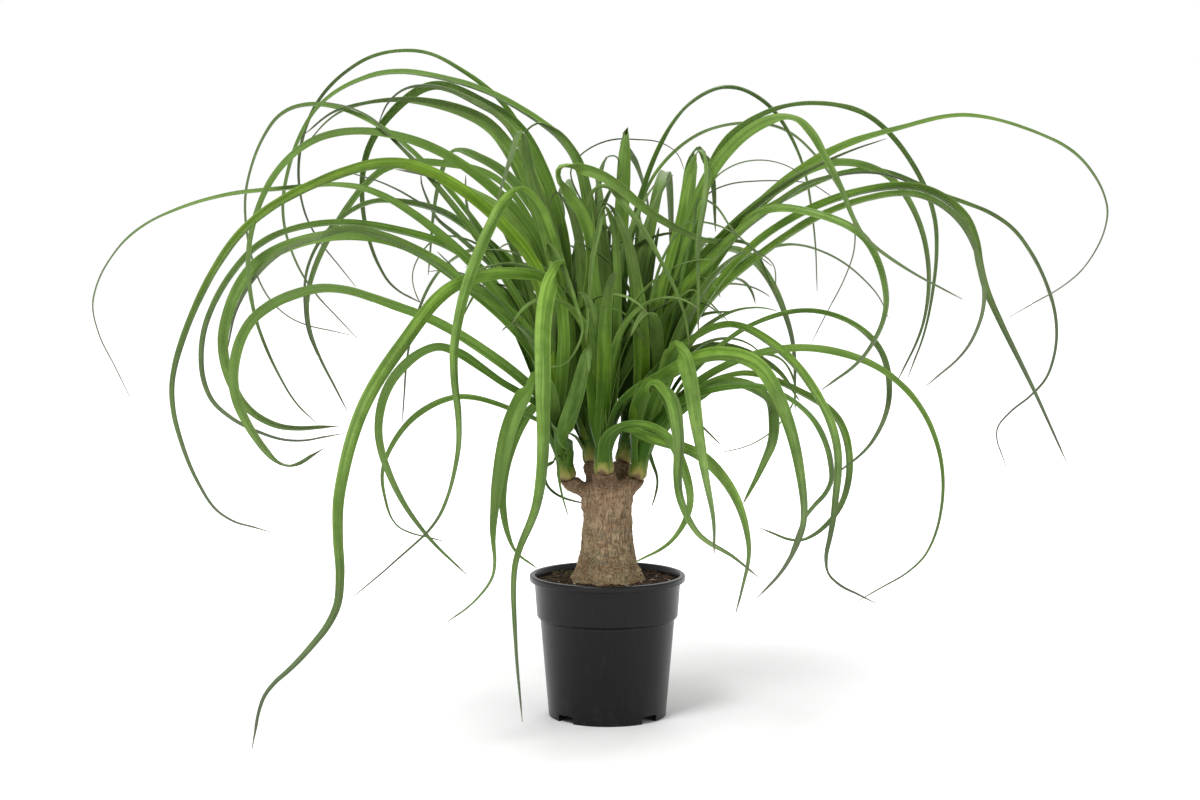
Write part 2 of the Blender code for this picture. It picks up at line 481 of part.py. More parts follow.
def find_seats():
    """Height and bearing of every leaf's seat on its shoot.

    Leaves that set off more steeply sit higher, and neighbours in height turn away from each
    other round the shoot until there is room for every leaf base.
    """
    seats = {}
    for shoot in SHOOTS:
        root, axis, size = growth_axis(shoot)
        across = axis.orthogonal().normalized()
        third = axis.cross(across)
        steepness = []
        for name, grows_on, width, turn, way in LEAVES:
            if grows_on == shoot:
                first = Vector(way[0]) - root
                steepness.append((first.normalized().dot(axis), name, Vector(way[0]) + Vector(way[1])))
        steepness.sort(key=lambda entry: entry[0])
        heights = [float(h) for h in np.linspace(LOWEST_SEAT, HIGHEST_SEAT, len(steepness))]
        bearings = []
        for height, (cosine, name, heading) in zip(heights, steepness):
            heading = heading - 2 * (root + axis * height)
            bearings.append(math.atan2(heading.dot(third), heading.dot(across)))
        for attempt in range(SEAT_ROUNDS):
            for i in range(len(bearings)):
                for j in range(i + 1, len(bearings)):
                    needed = SEAT_ROOM * (1 - (heights[j] - heights[i]) / SEAT_REACH)
                    turn = math.remainder(bearings[j] - bearings[i], 2 * math.pi)
                    lack = needed - abs(turn)
                    if lack > 0:
                        push = math.copysign(SEAT_PUSH * lack, turn if turn else 1.0)
                        bearings[i] -= push
                        bearings[j] += push
        for height, bearing, (cosine, name, heading) in zip(heights, bearings, steepness):
            seats[name] = (height, across * math.cos(bearing) + third * math.sin(bearing))
    return seats


def seat_and_rise(leaf, height, outward):
    """The leaf's first two points: its seat, and a point a little way up beside the shoot."""
    name, shoot, width, turn, way = leaf
    root, axis, size = growth_axis(shoot)
    on_axis = root + axis * (height + GAP)
    start = on_axis + outward * (shoot_radius(shoot, height) + GAP)
    towards = (Vector(way[0]) - start).normalized()
    spread = LOW_SPREAD * (1 - height / HIGHEST_SEAT)
    lean = (axis + LEAN_TO_WAY * towards + spread * outward).normalized()
    rise = min(RISE_FROM_SEAT, RISE_SHARE * (Vector(way[0]) - start).length)
    return start, start + lean * rise


def spline_points(points, rings_per_span):
    """Centripetal Catmull-Rom curve through the points, with a few rings on every span."""
    points = [np.array(point, dtype=float) for point in points]
    padded = [2 * points[0] - points[1]] + points + [2 * points[-1] - points[-2]]
    curve = []
    for i in range(1, len(padded) - 2):
        p0, p1, p2, p3 = padded[i - 1:i + 3]
        t1 = np.linalg.norm(p1 - p0) ** 0.5
        t2 = t1 + np.linalg.norm(p2 - p1) ** 0.5
        t3 = t2 + np.linalg.norm(p3 - p2) ** 0.5
        for step in range(rings_per_span):
            t = t1 + (t2 - t1) * step / rings_per_span
            a1 = (t1 - t) / t1 * p0 + t / t1 * p1
            a2 = (t2 - t) / (t2 - t1) * p1 + (t - t1) / (t2 - t1) * p2
            a3 = (t3 - t) / (t3 - t2) * p2 + (t - t2) / (t3 - t2) * p3
            b1 = (t2 - t) / t2 * a1 + t / t2 * a2
            b2 = (t3 - t) / (t3 - t1) * a2 + (t - t1) / (t3 - t1) * a3
            curve.append((t2 - t) / (t2 - t1) * b1 + (t - t1) / (t2 - t1) * b2)
    curve.append(points[-1])
    return np.array(curve)


def unit_rows(rows):
    return rows / np.linalg.norm(rows, axis=1)[:, None]


def leaf_rings(centres, outward, axis, width, turn, spare=0.0):
    """Left edge, right edge and keel of every ring, from the shoot to the tip."""
    tangents = unit_rows(np.gradient(centres, axis=0))
    spans = np.linalg.norm(np.diff(centres, axis=0), axis=1)
    share = np.concatenate([[0.0], np.cumsum(spans)]) / spans.sum()
    across = np.cross(axis, outward)
    rings = []
    for centre, tangent, s in zip(centres, tangents, share):
        across = across - tangent * across.dot(tangent)
        across = across / np.linalg.norm(across)
        angle = math.radians(float(np.interp(s, (0.0, 0.5, 1.0), turn)))
        angle *= smooth_share(s, 0.0, TURNED_AT)
        under = np.cross(across, tangent)
        side = across * math.cos(angle) + under * math.sin(angle)
        down = np.cross(side, tangent)
        swelling = SEAT_WIDTH_SHARE + (1 - SEAT_WIDTH_SHARE) * smooth_share(s, 0.0, FULL_WIDTH_AT)
        taper = smooth_share(s, TAPER_FROM, TAPER_RUNS_TO) / smooth_share(1.0, TAPER_FROM, TAPER_RUNS_TO)
        swell = spare * smooth_share(s, SPARE_SETS_IN[0], SPARE_SETS_IN[1])
        half = 0.5 * (width * swelling * (1 - taper) + TIP_WIDTH * taper) + swell
        keel = KEEL_SHARE * width * (1 - taper) + TIP_KEEL * taper + swell
        top = centre - down * swell
        rings.append([top - side * half, top + side * half, centre + down * keel])
    return np.array(rings)


def ribbon_faces(ring_count):
    faces = []
    for ring in range(ring_count - 1):
        base = 3 * ring
        for corner in range(3):
            following = (corner + 1) % 3
            faces.append((base + corner, base + following, base + 3 + following, base + 3 + corner))
    return faces


def reach_of_push(count, centre):
    """A push is strongest at its ring, fades along the leaf, and is nil at the seat."""
    places = np.arange(count)
    fade = np.exp(-0.5 * ((places - centre) / PUSH_SPREAD) ** 2)
    hold = np.clip((places - 0.5) / HELD_RINGS, 0.0, 1.0)
    return (fade * hold)[:, None]


def lean_apart(leaves, solids):
    """Leaves that touch lean away from each other and from the solid pieces, until all are clear."""
    count = len(leaves)
    trees = [None] * count
    boxes = [None] * count
    tangents = [None] * count
    hits = {}
    moved = set(range(count))
    for attempt in range(LEAN_ROUNDS):
        for i in moved:
            leaf = leaves[i]
            rings = leaf_rings(leaf["centres"], leaf["outward"], leaf["axis"], leaf["width"],
                               leaf["turn"], SPARE)
            vertices = rings.reshape(-1, 3)
            trees[i] = BVHTree.FromPolygons(vertices.tolist(), ribbon_faces(len(rings)))
            boxes[i] = (vertices.min(axis=0), vertices.max(axis=0))
            tangents[i] = unit_rows(np.gradient(leaf["centres"], axis=0))
        for i in range(count):
            for j in range(i + 1, count):
                if i in moved or j in moved:
                    apart = np.any(boxes[i][0] > boxes[j][1]) or np.any(boxes[j][0] > boxes[i][1])
                    pairs = [] if apart else trees[i].overlap(trees[j])
                    hits[i, j] = sorted({(a // 3, b // 3) for a, b in pairs})
            if i in moved:
                for k, tree in enumerate(solids):
                    hits[i, -k - 1] = sorted({(a // 3, 0) for a, b in trees[i].overlap(tree)})
        pushes = {}
        for (i, j), pairs in hits.items():
            for a, b in pairs:
                place = leaves[i]["centres"][a]
                if j < 0:
                    nearest, normal, index, distance = solids[-j - 1].find_nearest(Vector(place))
                    way_out = np.array(normal)
                else:
                    between = place - leaves[j]["centres"][b]
                    way_out = np.cross(tangents[i][a], tangents[j][b])
                    if np.linalg.norm(way_out) < CROSSING:
                        way_out = between - tangents[i][a] * between.dot(tangents[i][a])
                    way_out = way_out / max(np.linalg.norm(way_out), 1e-9)
                    if way_out.dot(between) < 0:
                        way_out = -way_out
                    pushes.setdefault(j, np.zeros_like(leaves[j]["centres"]))
                    pushes[j] -= way_out * reach_of_push(len(pushes[j]), b)
                pushes.setdefault(i, np.zeros_like(leaves[i]["centres"]))
                pushes[i] += way_out * reach_of_push(len(pushes[i]), a)
        if not pushes:
            return attempt
        moved = set(pushes)
        for i, push in pushes.items():
            size = np.linalg.norm(push, axis=1)[:, None]
            leaves[i]["centres"] = leaves[i]["centres"] + LEAN_STEP * push / np.maximum(size, 1.0)
    return None


def build_leaves(parts, solids):
    seats = find_seats()
    leaves = []
    for leaf in LEAVES:
        name, shoot, width, turn, way = leaf
        height, outward = seats[name]
        start, rise = seat_and_rise(leaf, height, outward)
        axis = np.array(growth_axis(shoot)[1])
        leaves.append({
            "name": name, "centres": spline_points([start, rise] + list(way), RINGS_PER_SPAN),
            "outward": np.array(outward), "axis": axis, "width": width, "turn": turn,
        })
    rounds = lean_apart(leaves, solids)
    print("leaves clear after", rounds)
    green = principled("leaf_green", (0.13, 0.27, 0.05), 0.5)
    for leaf in leaves:
        rings = leaf_rings(leaf["centres"], leaf["outward"], leaf["axis"], leaf["width"], leaf["turn"])
        build = bmesh.new()
        vertices = [build.verts.new(point) for point in rings.reshape(-1, 3)]
        for face in ribbon_faces(len(rings)):
            build.faces.new([vertices[i] for i in face])
        build.faces.new(vertices[2::-1])
        build.faces.new(vertices[-3:])
        bmesh.ops.triangulate(build, faces=build.faces)
        bmesh.ops.recalc_face_normals(build, faces=build.faces)
        mesh = bpy.data.meshes.new(leaf["name"])
        build.to_mesh(mesh)
        build.free()
        mesh.shade_smooth()
        add_object(f"leaf_{leaf['name']}", mesh, parts, green)


def solid_tree(item):
    mesh = evaluated_mesh(item)
    vertices = [item.matrix_world @ vertex.co for vertex in mesh.vertices]
    faces = [tuple(face.vertices) for face in mesh.polygons]
    return BVHTree.FromPolygons(vertices, faces)


clear_scene()
parts = new_collection(OBJECT_NAME)
cutters = new_collection("cutters")
build_pot(parts, cutters)
build_soil(parts)
trunk = build_trunk(parts, cutters)
shoots = build_shoots(parts)
bpy.context.view_layer.update()
solids = [solid_tree(item) for item in [trunk, *shoots.values(), parts.objects["nursery_pot"]]]
build_leaves(parts, solids)
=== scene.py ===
import math
import random

import bmesh
import bpy
import numpy as np
from mathutils import Matrix, Vector, noise


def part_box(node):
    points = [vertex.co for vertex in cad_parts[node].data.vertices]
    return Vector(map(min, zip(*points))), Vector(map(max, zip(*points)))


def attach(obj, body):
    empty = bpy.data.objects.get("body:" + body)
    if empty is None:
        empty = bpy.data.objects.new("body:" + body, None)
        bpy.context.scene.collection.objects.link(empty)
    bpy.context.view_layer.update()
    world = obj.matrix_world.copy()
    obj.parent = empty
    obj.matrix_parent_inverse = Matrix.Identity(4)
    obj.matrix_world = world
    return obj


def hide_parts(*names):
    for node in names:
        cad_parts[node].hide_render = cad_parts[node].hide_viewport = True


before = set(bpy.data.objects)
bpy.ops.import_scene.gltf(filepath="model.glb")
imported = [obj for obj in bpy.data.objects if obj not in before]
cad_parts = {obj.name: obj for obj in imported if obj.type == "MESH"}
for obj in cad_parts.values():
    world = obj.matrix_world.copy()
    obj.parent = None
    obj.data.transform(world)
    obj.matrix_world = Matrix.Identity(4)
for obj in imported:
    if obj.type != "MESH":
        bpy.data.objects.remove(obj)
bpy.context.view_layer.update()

# ---------------------------------------------------------------------------
# Camera, lights and backdrop.
# A short telephoto at table height looks slightly down on the plant; one large soft key, a fill
# and an even white surround light it, on a pale floor that keeps the pot's shadow; for the camera
# the floor also glows, a painted light that fades out towards the pot.
# ---------------------------------------------------------------------------
scene = bpy.context.scene
scene.view_settings.view_transform = "Standard"

LOOKS_DOWN = 5.597  # degrees
camera_data = bpy.data.cameras.new("camera")
camera_data.lens = 72.74
camera_data.sensor_width = 36.0
camera = bpy.data.objects.new("camera", camera_data)
camera.location = (-0.0062, -2.0, 0.4606)
camera.rotation_euler = (math.radians(90.0 - LOOKS_DOWN), 0.0, 0.0)
scene.collection.objects.link(camera)
scene.camera = camera

for name, place, aim, size, power in (
    ("key_light", (-0.8, -1.3, 2.2), (0.0, 0.0, 0.25), 0.8, 40.0),
    ("fill_light", (1.6, -1.5, 1.0), (0.0, 0.0, 0.25), 1.3, 6.0),
    ("back_light", (0.3, 1.7, 1.9), (0.0, 0.0, 0.3), 1.4, 18.0),
):
    light_data = bpy.data.lights.new(name, "AREA")
    light_data.size = size
    light_data.energy = power
    light = bpy.data.objects.new(name, light_data)
    light.location = place
    light.rotation_euler = (Vector(aim) - Vector(place)).to_track_quat("-Z", "Y").to_euler()
    scene.collection.objects.link(light)


def seen_rays(tree):
    """1 for the camera's rays and for those mirrored or let through by a surface, else 0."""
    path = tree.nodes.new("ShaderNodeLightPath")
    seen_by = path.outputs["Is Camera Ray"]
    for kind in ("Is Glossy Ray", "Is Transmission Ray"):
        either = tree.nodes.new("ShaderNodeMath")
        either.operation = "MAXIMUM"
        tree.links.new(seen_by, either.inputs[0])
        tree.links.new(path.outputs[kind], either.inputs[1])
        seen_by = either.outputs["Value"]
    return seen_by


world = bpy.data.worlds.new("studio")
scene.world = world
world.use_nodes = True
tree = world.node_tree
surround = tree.nodes["Background"]
surround.inputs["Color"].default_value = (1.0, 1.0, 1.0, 1.0)
surround.inputs["Strength"].default_value = 0.40
seen = tree.nodes.new("ShaderNodeBackground")
seen.inputs["Color"].default_value = (1.0, 1.0, 1.0, 1.0)
choose = tree.nodes.new("ShaderNodeMixShader")
tree.links.new(seen_rays(tree), choose.inputs["Fac"])
tree.links.new(surround.outputs["Background"], choose.inputs[1])
tree.links.new(seen.outputs["Background"], choose.inputs[2])
tree.links.new(choose.outputs["Shader"], tree.nodes["World Output"].inputs["Surface"])

bpy.ops.object.select_all(action="DESELECT")
bpy.ops.mesh.primitive_plane_add(size=12.0, location=(0.0, 0.0, 0.0))
floor = bpy.context.object
floor.name = "floor"
floor_paint = bpy.data.materials.new("floor_paint")
floor_paint.use_nodes = True
tree = floor_paint.node_tree
shader = tree.nodes["Principled BSDF"]
shader.inputs["Base Color"].default_value = (0.95, 0.95, 0.95, 1.0)
shader.inputs["Roughness"].default_value = 0.8
shader.inputs["Specular IOR Level"].default_value = 0.0
# painted light: the floor glows for the rays that see it, not at all beside the pot and more strongly further
# out, so it reads whiter away from the pot and darker close to it
reach = tree.nodes.new("ShaderNodeVectorMath")
reach.operation = "LENGTH"
tree.links.new(tree.nodes.new("ShaderNodeTexCoord").outputs["Object"], reach.inputs[0])
further = tree.nodes.new("ShaderNodeMapRange")
further.inputs["From Min"].default_value = 0.05
further.inputs["From Max"].default_value = 0.8
further.inputs["To Min"].default_value = 0.0
further.inputs["To Max"].default_value = 0.9
tree.links.new(reach.outputs["Value"], further.inputs["Value"])
glow = tree.nodes.new("ShaderNodeEmission")
tree.links.new(further.outputs["Result"], glow.inputs["Strength"])
dark = tree.nodes.new("ShaderNodeEmission")
dark.inputs["Strength"].default_value = 0.0
only_seen = tree.nodes.new("ShaderNodeMixShader")
both = tree.nodes.new("ShaderNodeAddShader")
tree.links.new(seen_rays(tree), only_seen.inputs["Fac"])
tree.links.new(dark.outputs["Emission"], only_seen.inputs[1])
tree.links.new(glow.outputs["Emission"], only_seen.inputs[2])
tree.links.new(shader.outputs["BSDF"], both.inputs[0])
tree.links.new(only_seen.outputs["Shader"], both.inputs[1])
tree.links.new(both.outputs["Shader"], tree.nodes["Material Output"].inputs["Surface"])
floor.data.materials.append(floor_paint)


# ---------------------------------------------------------------------------
# Nursery pot.
# Thin blow-moulded black plastic: a rolled rim bead, a step a third of the way down, a slightly
# tapered wall, a standing ring with four drain notches. The profile is spun round the pot's axis.
# ---------------------------------------------------------------------------
def select_only(item):
    bpy.ops.object.select_all(action="DESELECT")
    item.select_set(True)
    bpy.context.view_layer.objects.active = item


def apply_modifiers(item):
    select_only(item)
    for modifier in list(item.modifiers):
        bpy.ops.object.modifier_apply(modifier=modifier.name)


def spun(name, profile, steps):
    """Spins a profile of (radius, height) points round the Z axis into a closed, smooth piece."""
    mesh = bpy.data.meshes.new(name)
    edges = [(i, i + 1) for i in range(len(profile) - 1)]
    mesh.from_pydata([(radius, 0.0, height) for radius, height in profile], edges, [])
    item = bpy.data.objects.new(name, mesh)
    scene.collection.objects.link(item)
    select_only(item)
    bpy.ops.object.mode_set(mode="EDIT")
    bpy.ops.mesh.select_all(action="SELECT")
    bpy.ops.mesh.spin(steps=steps, angle=2 * math.pi, center=(0.0, 0.0, 0.0), axis=(0.0, 0.0, 1.0))
    bpy.ops.mesh.select_all(action="SELECT")
    bpy.ops.mesh.remove_doubles(threshold=0.00002)
    bpy.ops.mesh.normals_make_consistent(inside=False)
    bpy.ops.object.mode_set(mode="OBJECT")
    return item


def arc(centre_r, centre_z, radius, start, end, count):
    """Points on a round corner of a profile, from one angle to another, in degrees."""
    turns = [math.radians(start + (end - start) * i / count) for i in range(count + 1)]
    return [(centre_r + radius * math.cos(t), centre_z + radius * math.sin(t)) for t in turns]


pot_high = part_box("nursery_pot")[1]
pot_height = pot_high[2]
rim_radius = pot_high[0]
bead = 0.0055
step_height = 0.0834
wall = 0.0013
foot_radius = 0.0491
above_step = 0.0588
below_step = 0.0560
under_rim = 0.0609
pot_profile = [(0.0, 0.0055), (0.030, 0.0056), (0.0445, 0.0060), (0.0472, 0.0078)]
pot_profile += [(below_step - wall - 0.0002, step_height - 0.0016), (below_step - wall, step_height - 0.0008)]
pot_profile += [(above_step - wall - 0.0004, step_height + 0.0004), (above_step - wall, step_height + 0.0012)]
pot_profile += [(under_rim - wall, pot_height - bead)]
pot_profile += arc(rim_radius - 0.0030, pot_height - 0.0016, 0.0016, 150, 80, 5)
pot_profile += arc(rim_radius - 0.0018, pot_height - 0.0018, 0.0018, 80, 0, 6)
pot_profile += arc(rim_radius - 0.0012, pot_height - bead + 0.0012, 0.0012, 0, -90, 5)
pot_profile += arc(under_rim + 0.0009, pot_height - bead - 0.0009, 0.0009, 90, 180, 4)
pot_profile += arc(above_step - 0.0010, step_height + 0.0012, 0.0010, 0, -70, 4)
pot_profile += [(below_step + 0.0005, step_height - 0.0006), (below_step, step_height - 0.0014)]
pot_profile += [(below_step + 0.0003, step_height - 0.0026), (below_step - 0.0001, step_height - 0.0036)]
pot_profile += arc(foot_radius - 0.0008, 0.0008, 0.0008, 0, -90, 5)
pot_profile += arc(foot_radius - 0.0024, 0.0008, 0.0008, -90, -180, 5)
pot_profile += [(foot_radius - 0.0034, 0.0038), (0.030, 0.0040), (0.0, 0.0040)]
pot = spun("pot_shell", pot_profile, 144)

# the notches are cut with rounded blocks; each opens a drain hole at the floor's edge
for bearing in (45, 135, 225, 315):
    bpy.ops.object.select_all(action="DESELECT")
    bpy.ops.mesh.primitive_cube_add(size=1.0)
    notch = bpy.context.object
    notch.dimensions = (0.011, 0.017, 0.0124)
    bpy.ops.object.transform_apply(location=False, rotation=False, scale=True)
    corner = notch.modifiers.new("corner", "BEVEL")
    corner.width = 0.0022
    corner.segments = 4
    place = Matrix.Rotation(math.radians(bearing), 4, "Z") @ Matrix.Translation((0.0481, 0.0, 0.0))
    apply_modifiers(notch)
    notch.data.transform(place)
    cut = pot.modifiers.new("notch", "BOOLEAN")
    cut.operation = "DIFFERENCE"
    cut.solver = "EXACT"
    cut.object = notch
    select_only(pot)
    bpy.ops.object.modifier_apply(modifier="notch")
    bpy.data.objects.remove(notch)
select_only(pot)
bpy.ops.object.shade_smooth_by_angle(angle=math.radians(40))


def new_material(name):
    """A material with its Principled shader, ready for nodes."""
    material = bpy.data.materials.new(name)
    material.use_nodes = True
    return material, material.node_tree, material.node_tree.nodes["Principled BSDF"]


def scatter_group():
    """Speckle shared by plastic, soil and bark: fine noise cut to a soft-edged mask."""
    group = bpy.data.node_groups.new("speckle", "ShaderNodeTree")
    group.interface.new_socket("Vector", in_out="INPUT", socket_type="NodeSocketVector")
    for name in ("Scale", "Low", "High"):
        group.interface.new_socket(name, in_out="INPUT", socket_type="NodeSocketFloat")
    group.interface.new_socket("Mask", in_out="OUTPUT", socket_type="NodeSocketFloat")
    inside = group.nodes.new("NodeGroupInput")
    outside = group.nodes.new("NodeGroupOutput")
    grain = group.nodes.new("ShaderNodeTexNoise")
    grain.inputs["Detail"].default_value = 4.0
    grain.inputs["Roughness"].default_value = 0.6
    cut = group.nodes.new("ShaderNodeMapRange")
    cut.interpolation_type = "SMOOTHSTEP"
    group.links.new(inside.outputs["Vector"], grain.inputs["Vector"])
    group.links.new(inside.outputs["Scale"], grain.inputs["Scale"])
    group.links.new(grain.outputs["Fac"], cut.inputs["Value"])
    group.links.new(inside.outputs["Low"], cut.inputs["From Min"])
    group.links.new(inside.outputs["High"], cut.inputs["From Max"])
    group.links.new(cut.outputs["Result"], outside.inputs["Mask"])
    return group


speckle = scatter_group()


def add_speckle(tree, vector, scale, low, high):
    node = tree.nodes.new("ShaderNodeGroup")
    node.node_tree = speckle
    node.inputs["Scale"].default_value = scale
    node.inputs["Low"].default_value = low
    node.inputs["High"].default_value = high
    tree.links.new(vector, node.inputs["Vector"])
    return node.outputs["Mask"]


def blend_colours(tree, mask, first, second):
    """Mixes two colours by a mask; each is a colour value or another node's output."""
    node = tree.nodes.new("ShaderNodeMix")
    node.data_type = "RGBA"
    for socket, colour in ((node.inputs[6], first), (node.inputs[7], second)):
        if isinstance(colour, tuple):
            socket.default_value = (*colour, 1.0)
        else:
            tree.links.new(colour, socket)
    if isinstance(mask, float):
        node.inputs[0].default_value = mask
    else:
        tree.links.new(mask, node.inputs[0])
    return node.outputs[2]


def map_value(tree, value, low, high, to_low, to_high):
    node = tree.nodes.new("ShaderNodeMapRange")
    node.inputs["From Min"].default_value = low
    node.inputs["From Max"].default_value = high
    node.inputs["To Min"].default_value = to_low
    node.inputs["To Max"].default_value = to_high
    tree.links.new(value, node.inputs["Value"])
    return node.outputs["Result"]


def add_bump(tree, shader, height, strength, distance):
    node = tree.nodes.new("ShaderNodeBump")
    node.inputs["Strength"].default_value = strength
    node.inputs["Distance"].default_value = distance
    tree.links.new(height, node.inputs["Height"])
    tree.links.new(node.outputs["Normal"], shader.inputs["Normal"])


plastic, tree, shader = new_material("recycled_black_plastic")
place = tree.nodes.new("ShaderNodeTexCoord").outputs["Object"]
split = tree.nodes.new("ShaderNodeSeparateXYZ")
tree.links.new(place, split.inputs["Vector"])
stretch = tree.nodes.new("ShaderNodeMapping")
stretch.inputs["Scale"].default_value = (1.0, 1.0, 0.12)
tree.links.new(place, stretch.inputs["Vector"])
scuffs = add_speckle(tree, stretch.outputs["Vector"], 420.0, 0.56, 0.78)
dust = add_speckle(tree, place, 90.0, 0.45, 0.75)
low_dust = map_value(tree, split.outputs["Z"], 0.0, 0.03, 0.35, 0.0)
dusty = tree.nodes.new("ShaderNodeMath")
dusty.operation = "MULTIPLY"
tree.links.new(dust, dusty.inputs[0])
tree.links.new(low_dust, dusty.inputs[1])
faded = blend_colours(tree, scuffs, (0.0032, 0.0032, 0.0035), (0.010, 0.010, 0.0105))
coloured = blend_colours(tree, dusty.outputs["Value"], faded, (0.05, 0.048, 0.043))
tree.links.new(coloured, shader.inputs["Base Color"])
tree.links.new(map_value(tree, scuffs, 0.0, 1.0, 0.30, 0.46), shader.inputs["Roughness"])
shader.inputs["Specular IOR Level"].default_value = 0.25
fine = add_speckle(tree, place, 1500.0, 0.3, 0.8)
add_bump(tree, shader, fine, 0.15, 0.0002)
pot.data.materials.append(plastic)
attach(pot, "root")
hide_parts("nursery_pot")


# ---------------------------------------------------------------------------
# Potting soil.
# A dark peat and bark mix, uneven on top, that closes round the trunk; loose crumbs, bark chips,
# pale grit and a little moss at its left edge lie on it. The crumbs are rough lumps, joined.
# ---------------------------------------------------------------------------
soil_low, soil_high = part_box("potting_soil")
soil_top = soil_high[2]
soil_radius = soil_high[0]
trunk_at_soil = 0.0322


def soil_height(x, y):
    """Uneven top of the soil, a little higher round the trunk."""
    away = math.hypot(x, y)
    lumps = noise.fractal(Vector((x, y, 0.3)) * 90.0, 0.8, 2.1, 4)
    mound = 0.0016 * max(0.0, 1.0 - (away - trunk_at_soil) / 0.02)
    return soil_top - 0.0016 + mound + 0.0016 * lumps


soil_profile = [(0.0, soil_low[2]), (0.0470, soil_low[2]), (below_step - wall - 0.0006, step_height - 0.001)]
soil_profile += [(above_step - wall - 0.0006, step_height + 0.002), (soil_radius, soil_top - 0.003)]
soil_profile += [(soil_radius - 0.0012 * i, soil_top) for i in range(1, 24)] + [(0.0, soil_top)]
soil = spun("soil_bed", soil_profile, 160)
for vertex in soil.data.vertices:
    if vertex.co.z > soil_top - 0.0031:
        vertex.co.z = soil_height(vertex.co.x, vertex.co.y)

noise.seed_set(7)  # noise_vector takes its offsets from the clock where no seed is set
rng = random.Random(7)
crumbs = []
for number in range(900):
    away = math.sqrt(rng.uniform(trunk_at_soil ** 2, (soil_radius - 0.0015) ** 2))
    bearing = rng.uniform(0.0, 2 * math.pi)
    x, y = away * math.cos(bearing), away * math.sin(bearing)
    chip = rng.random() < 0.25
    size = rng.uniform(0.0005, 0.0014) * (1.5 if chip else 1.0)
    crumbs.append((x, y, size, chip, rng.random(), rng.uniform(0, 6.28), rng.uniform(-0.5, 0.5)))

lumps = bmesh.new()
shade = lumps.verts.layers.float_color.new("shade")
for x, y, size, chip, tone, spin, tip in crumbs:
    before = len(lumps.verts)
    scale = Matrix.Diagonal((1.9, 0.8, 0.45, 1.0)) if chip else Matrix.Diagonal((1.0, 0.85, 0.75, 1.0))
    turn = Matrix.Rotation(spin, 4, "Z") @ Matrix.Rotation(tip, 4, "X")
    seat = Matrix.Translation((x, y, soil_height(x, y) + 0.25 * size))
    made = bmesh.ops.create_icosphere(lumps, subdivisions=1, radius=size, matrix=seat @ turn @ scale)
    if tone > 0.95:
        colour = (0.42, 0.36, 0.28, 1.0)
    elif tone > 0.80:
        colour = (0.17, 0.085, 0.045, 1.0)
    elif x < -0.02 and tone > 0.45:
        colour = (0.075, 0.085, 0.025, 1.0)
    else:
        colour = (0.035 + 0.05 * tone, 0.022 + 0.03 * tone, 0.014 + 0.02 * tone, 1.0)
    for vertex in made["verts"]:
        vertex.co += 0.25 * size * noise.noise_vector(vertex.co * 900.0)
        vertex[shade] = colour
crumb_mesh = bpy.data.meshes.new("soil_crumbs")
lumps.to_mesh(crumb_mesh)
lumps.free()
crumb_mesh.shade_smooth()
crumb_piece = bpy.data.objects.new("soil_crumbs", crumb_mesh)
scene.collection.objects.link(crumb_piece)

earth, tree, shader = new_material("peat_mix")
place = tree.nodes.new("ShaderNodeTexCoord").outputs["Object"]
red = add_speckle(tree, place, 330.0, 0.52, 0.66)
pale = add_speckle(tree, place, 800.0, 0.66, 0.74)
browns = blend_colours(tree, red, (0.022, 0.013, 0.009), (0.085, 0.042, 0.024))
tree.links.new(blend_colours(tree, pale, browns, (0.26, 0.21, 0.15)), shader.inputs["Base Color"])
shader.inputs["Roughness"].default_value = 0.95
shader.inputs["Specular IOR Level"].default_value = 0.15
clods = add_speckle(tree, place, 420.0, 0.25, 0.8)
add_bump(tree, shader, clods, 1.0, 0.0012)
soil.data.materials.append(earth)
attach(soil, "root")
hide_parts("potting_soil")

crumb_finish, tree, shader = new_material("loose_crumbs")
tint = tree.nodes.new("ShaderNodeAttribute")
tint.attribute_name = "shade"
place = tree.nodes.new("ShaderNodeTexCoord").outputs["Object"]
mottle = add_speckle(tree, place, 1400.0, 0.3, 0.7)
darker = blend_colours(tree, 0.45, tint.outputs["Color"], (0.012, 0.008, 0.005))
tree.links.new(blend_colours(tree, mottle, darker, tint.outputs["Color"]), shader.inputs["Base Color"])
shader.inputs["Roughness"].default_value = 0.9
shader.inputs["Specular IOR Level"].default_value = 0.2
crumb_piece.data.materials.append(crumb_finish)
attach(crumb_piece, "root")


# ---------------------------------------------------------------------------
# Trunk.
# The swollen base of the palm: grey-brown bark split by upright fissures into small corky
# plates, with short stubs on top that carry the shoots. It grows from the CAD trunk's own form.
# ---------------------------------------------------------------------------
def copy_of_node(node, name):
    """A merged, editable copy of a CAD node."""
    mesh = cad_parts[node].data.copy()
    mesh.materials.clear()
    item = bpy.data.objects.new(name, mesh)
    scene.collection.objects.link(item)
    work = bmesh.new()
    work.from_mesh(mesh)
    bmesh.ops.remove_doubles(work, verts=work.verts, dist=0.00002)
    work.to_mesh(mesh)
    work.free()
    return item


def add_shade_layer(mesh, name, colours):
    layer = mesh.color_attributes.new(name, "FLOAT_COLOR", "POINT")
    layer.data.foreach_set("color", np.array(colours, dtype=np.float32).ravel())


def ridge(spot, across, upward, width):
    """How deep inside a thin crack a point lies, 0 to 1; cracks follow the zero line of a noise."""
    value = noise.noise(Vector((spot.x * across, spot.y * across, spot.z * upward)))
    return math.exp(-(value / width) ** 2)


def smoothed_over(item, voxel_size, rounds, strength):
    """Remeshes a piece finely and evenly, and smooths the CAD solid's facets away."""
    voxels = item.modifiers.new("voxels", "REMESH")
    voxels.mode = "VOXEL"
    voxels.voxel_size = voxel_size
    relax = item.modifiers.new("relax", "SMOOTH")
    relax.iterations = rounds
    relax.factor = strength
    apply_modifiers(item)


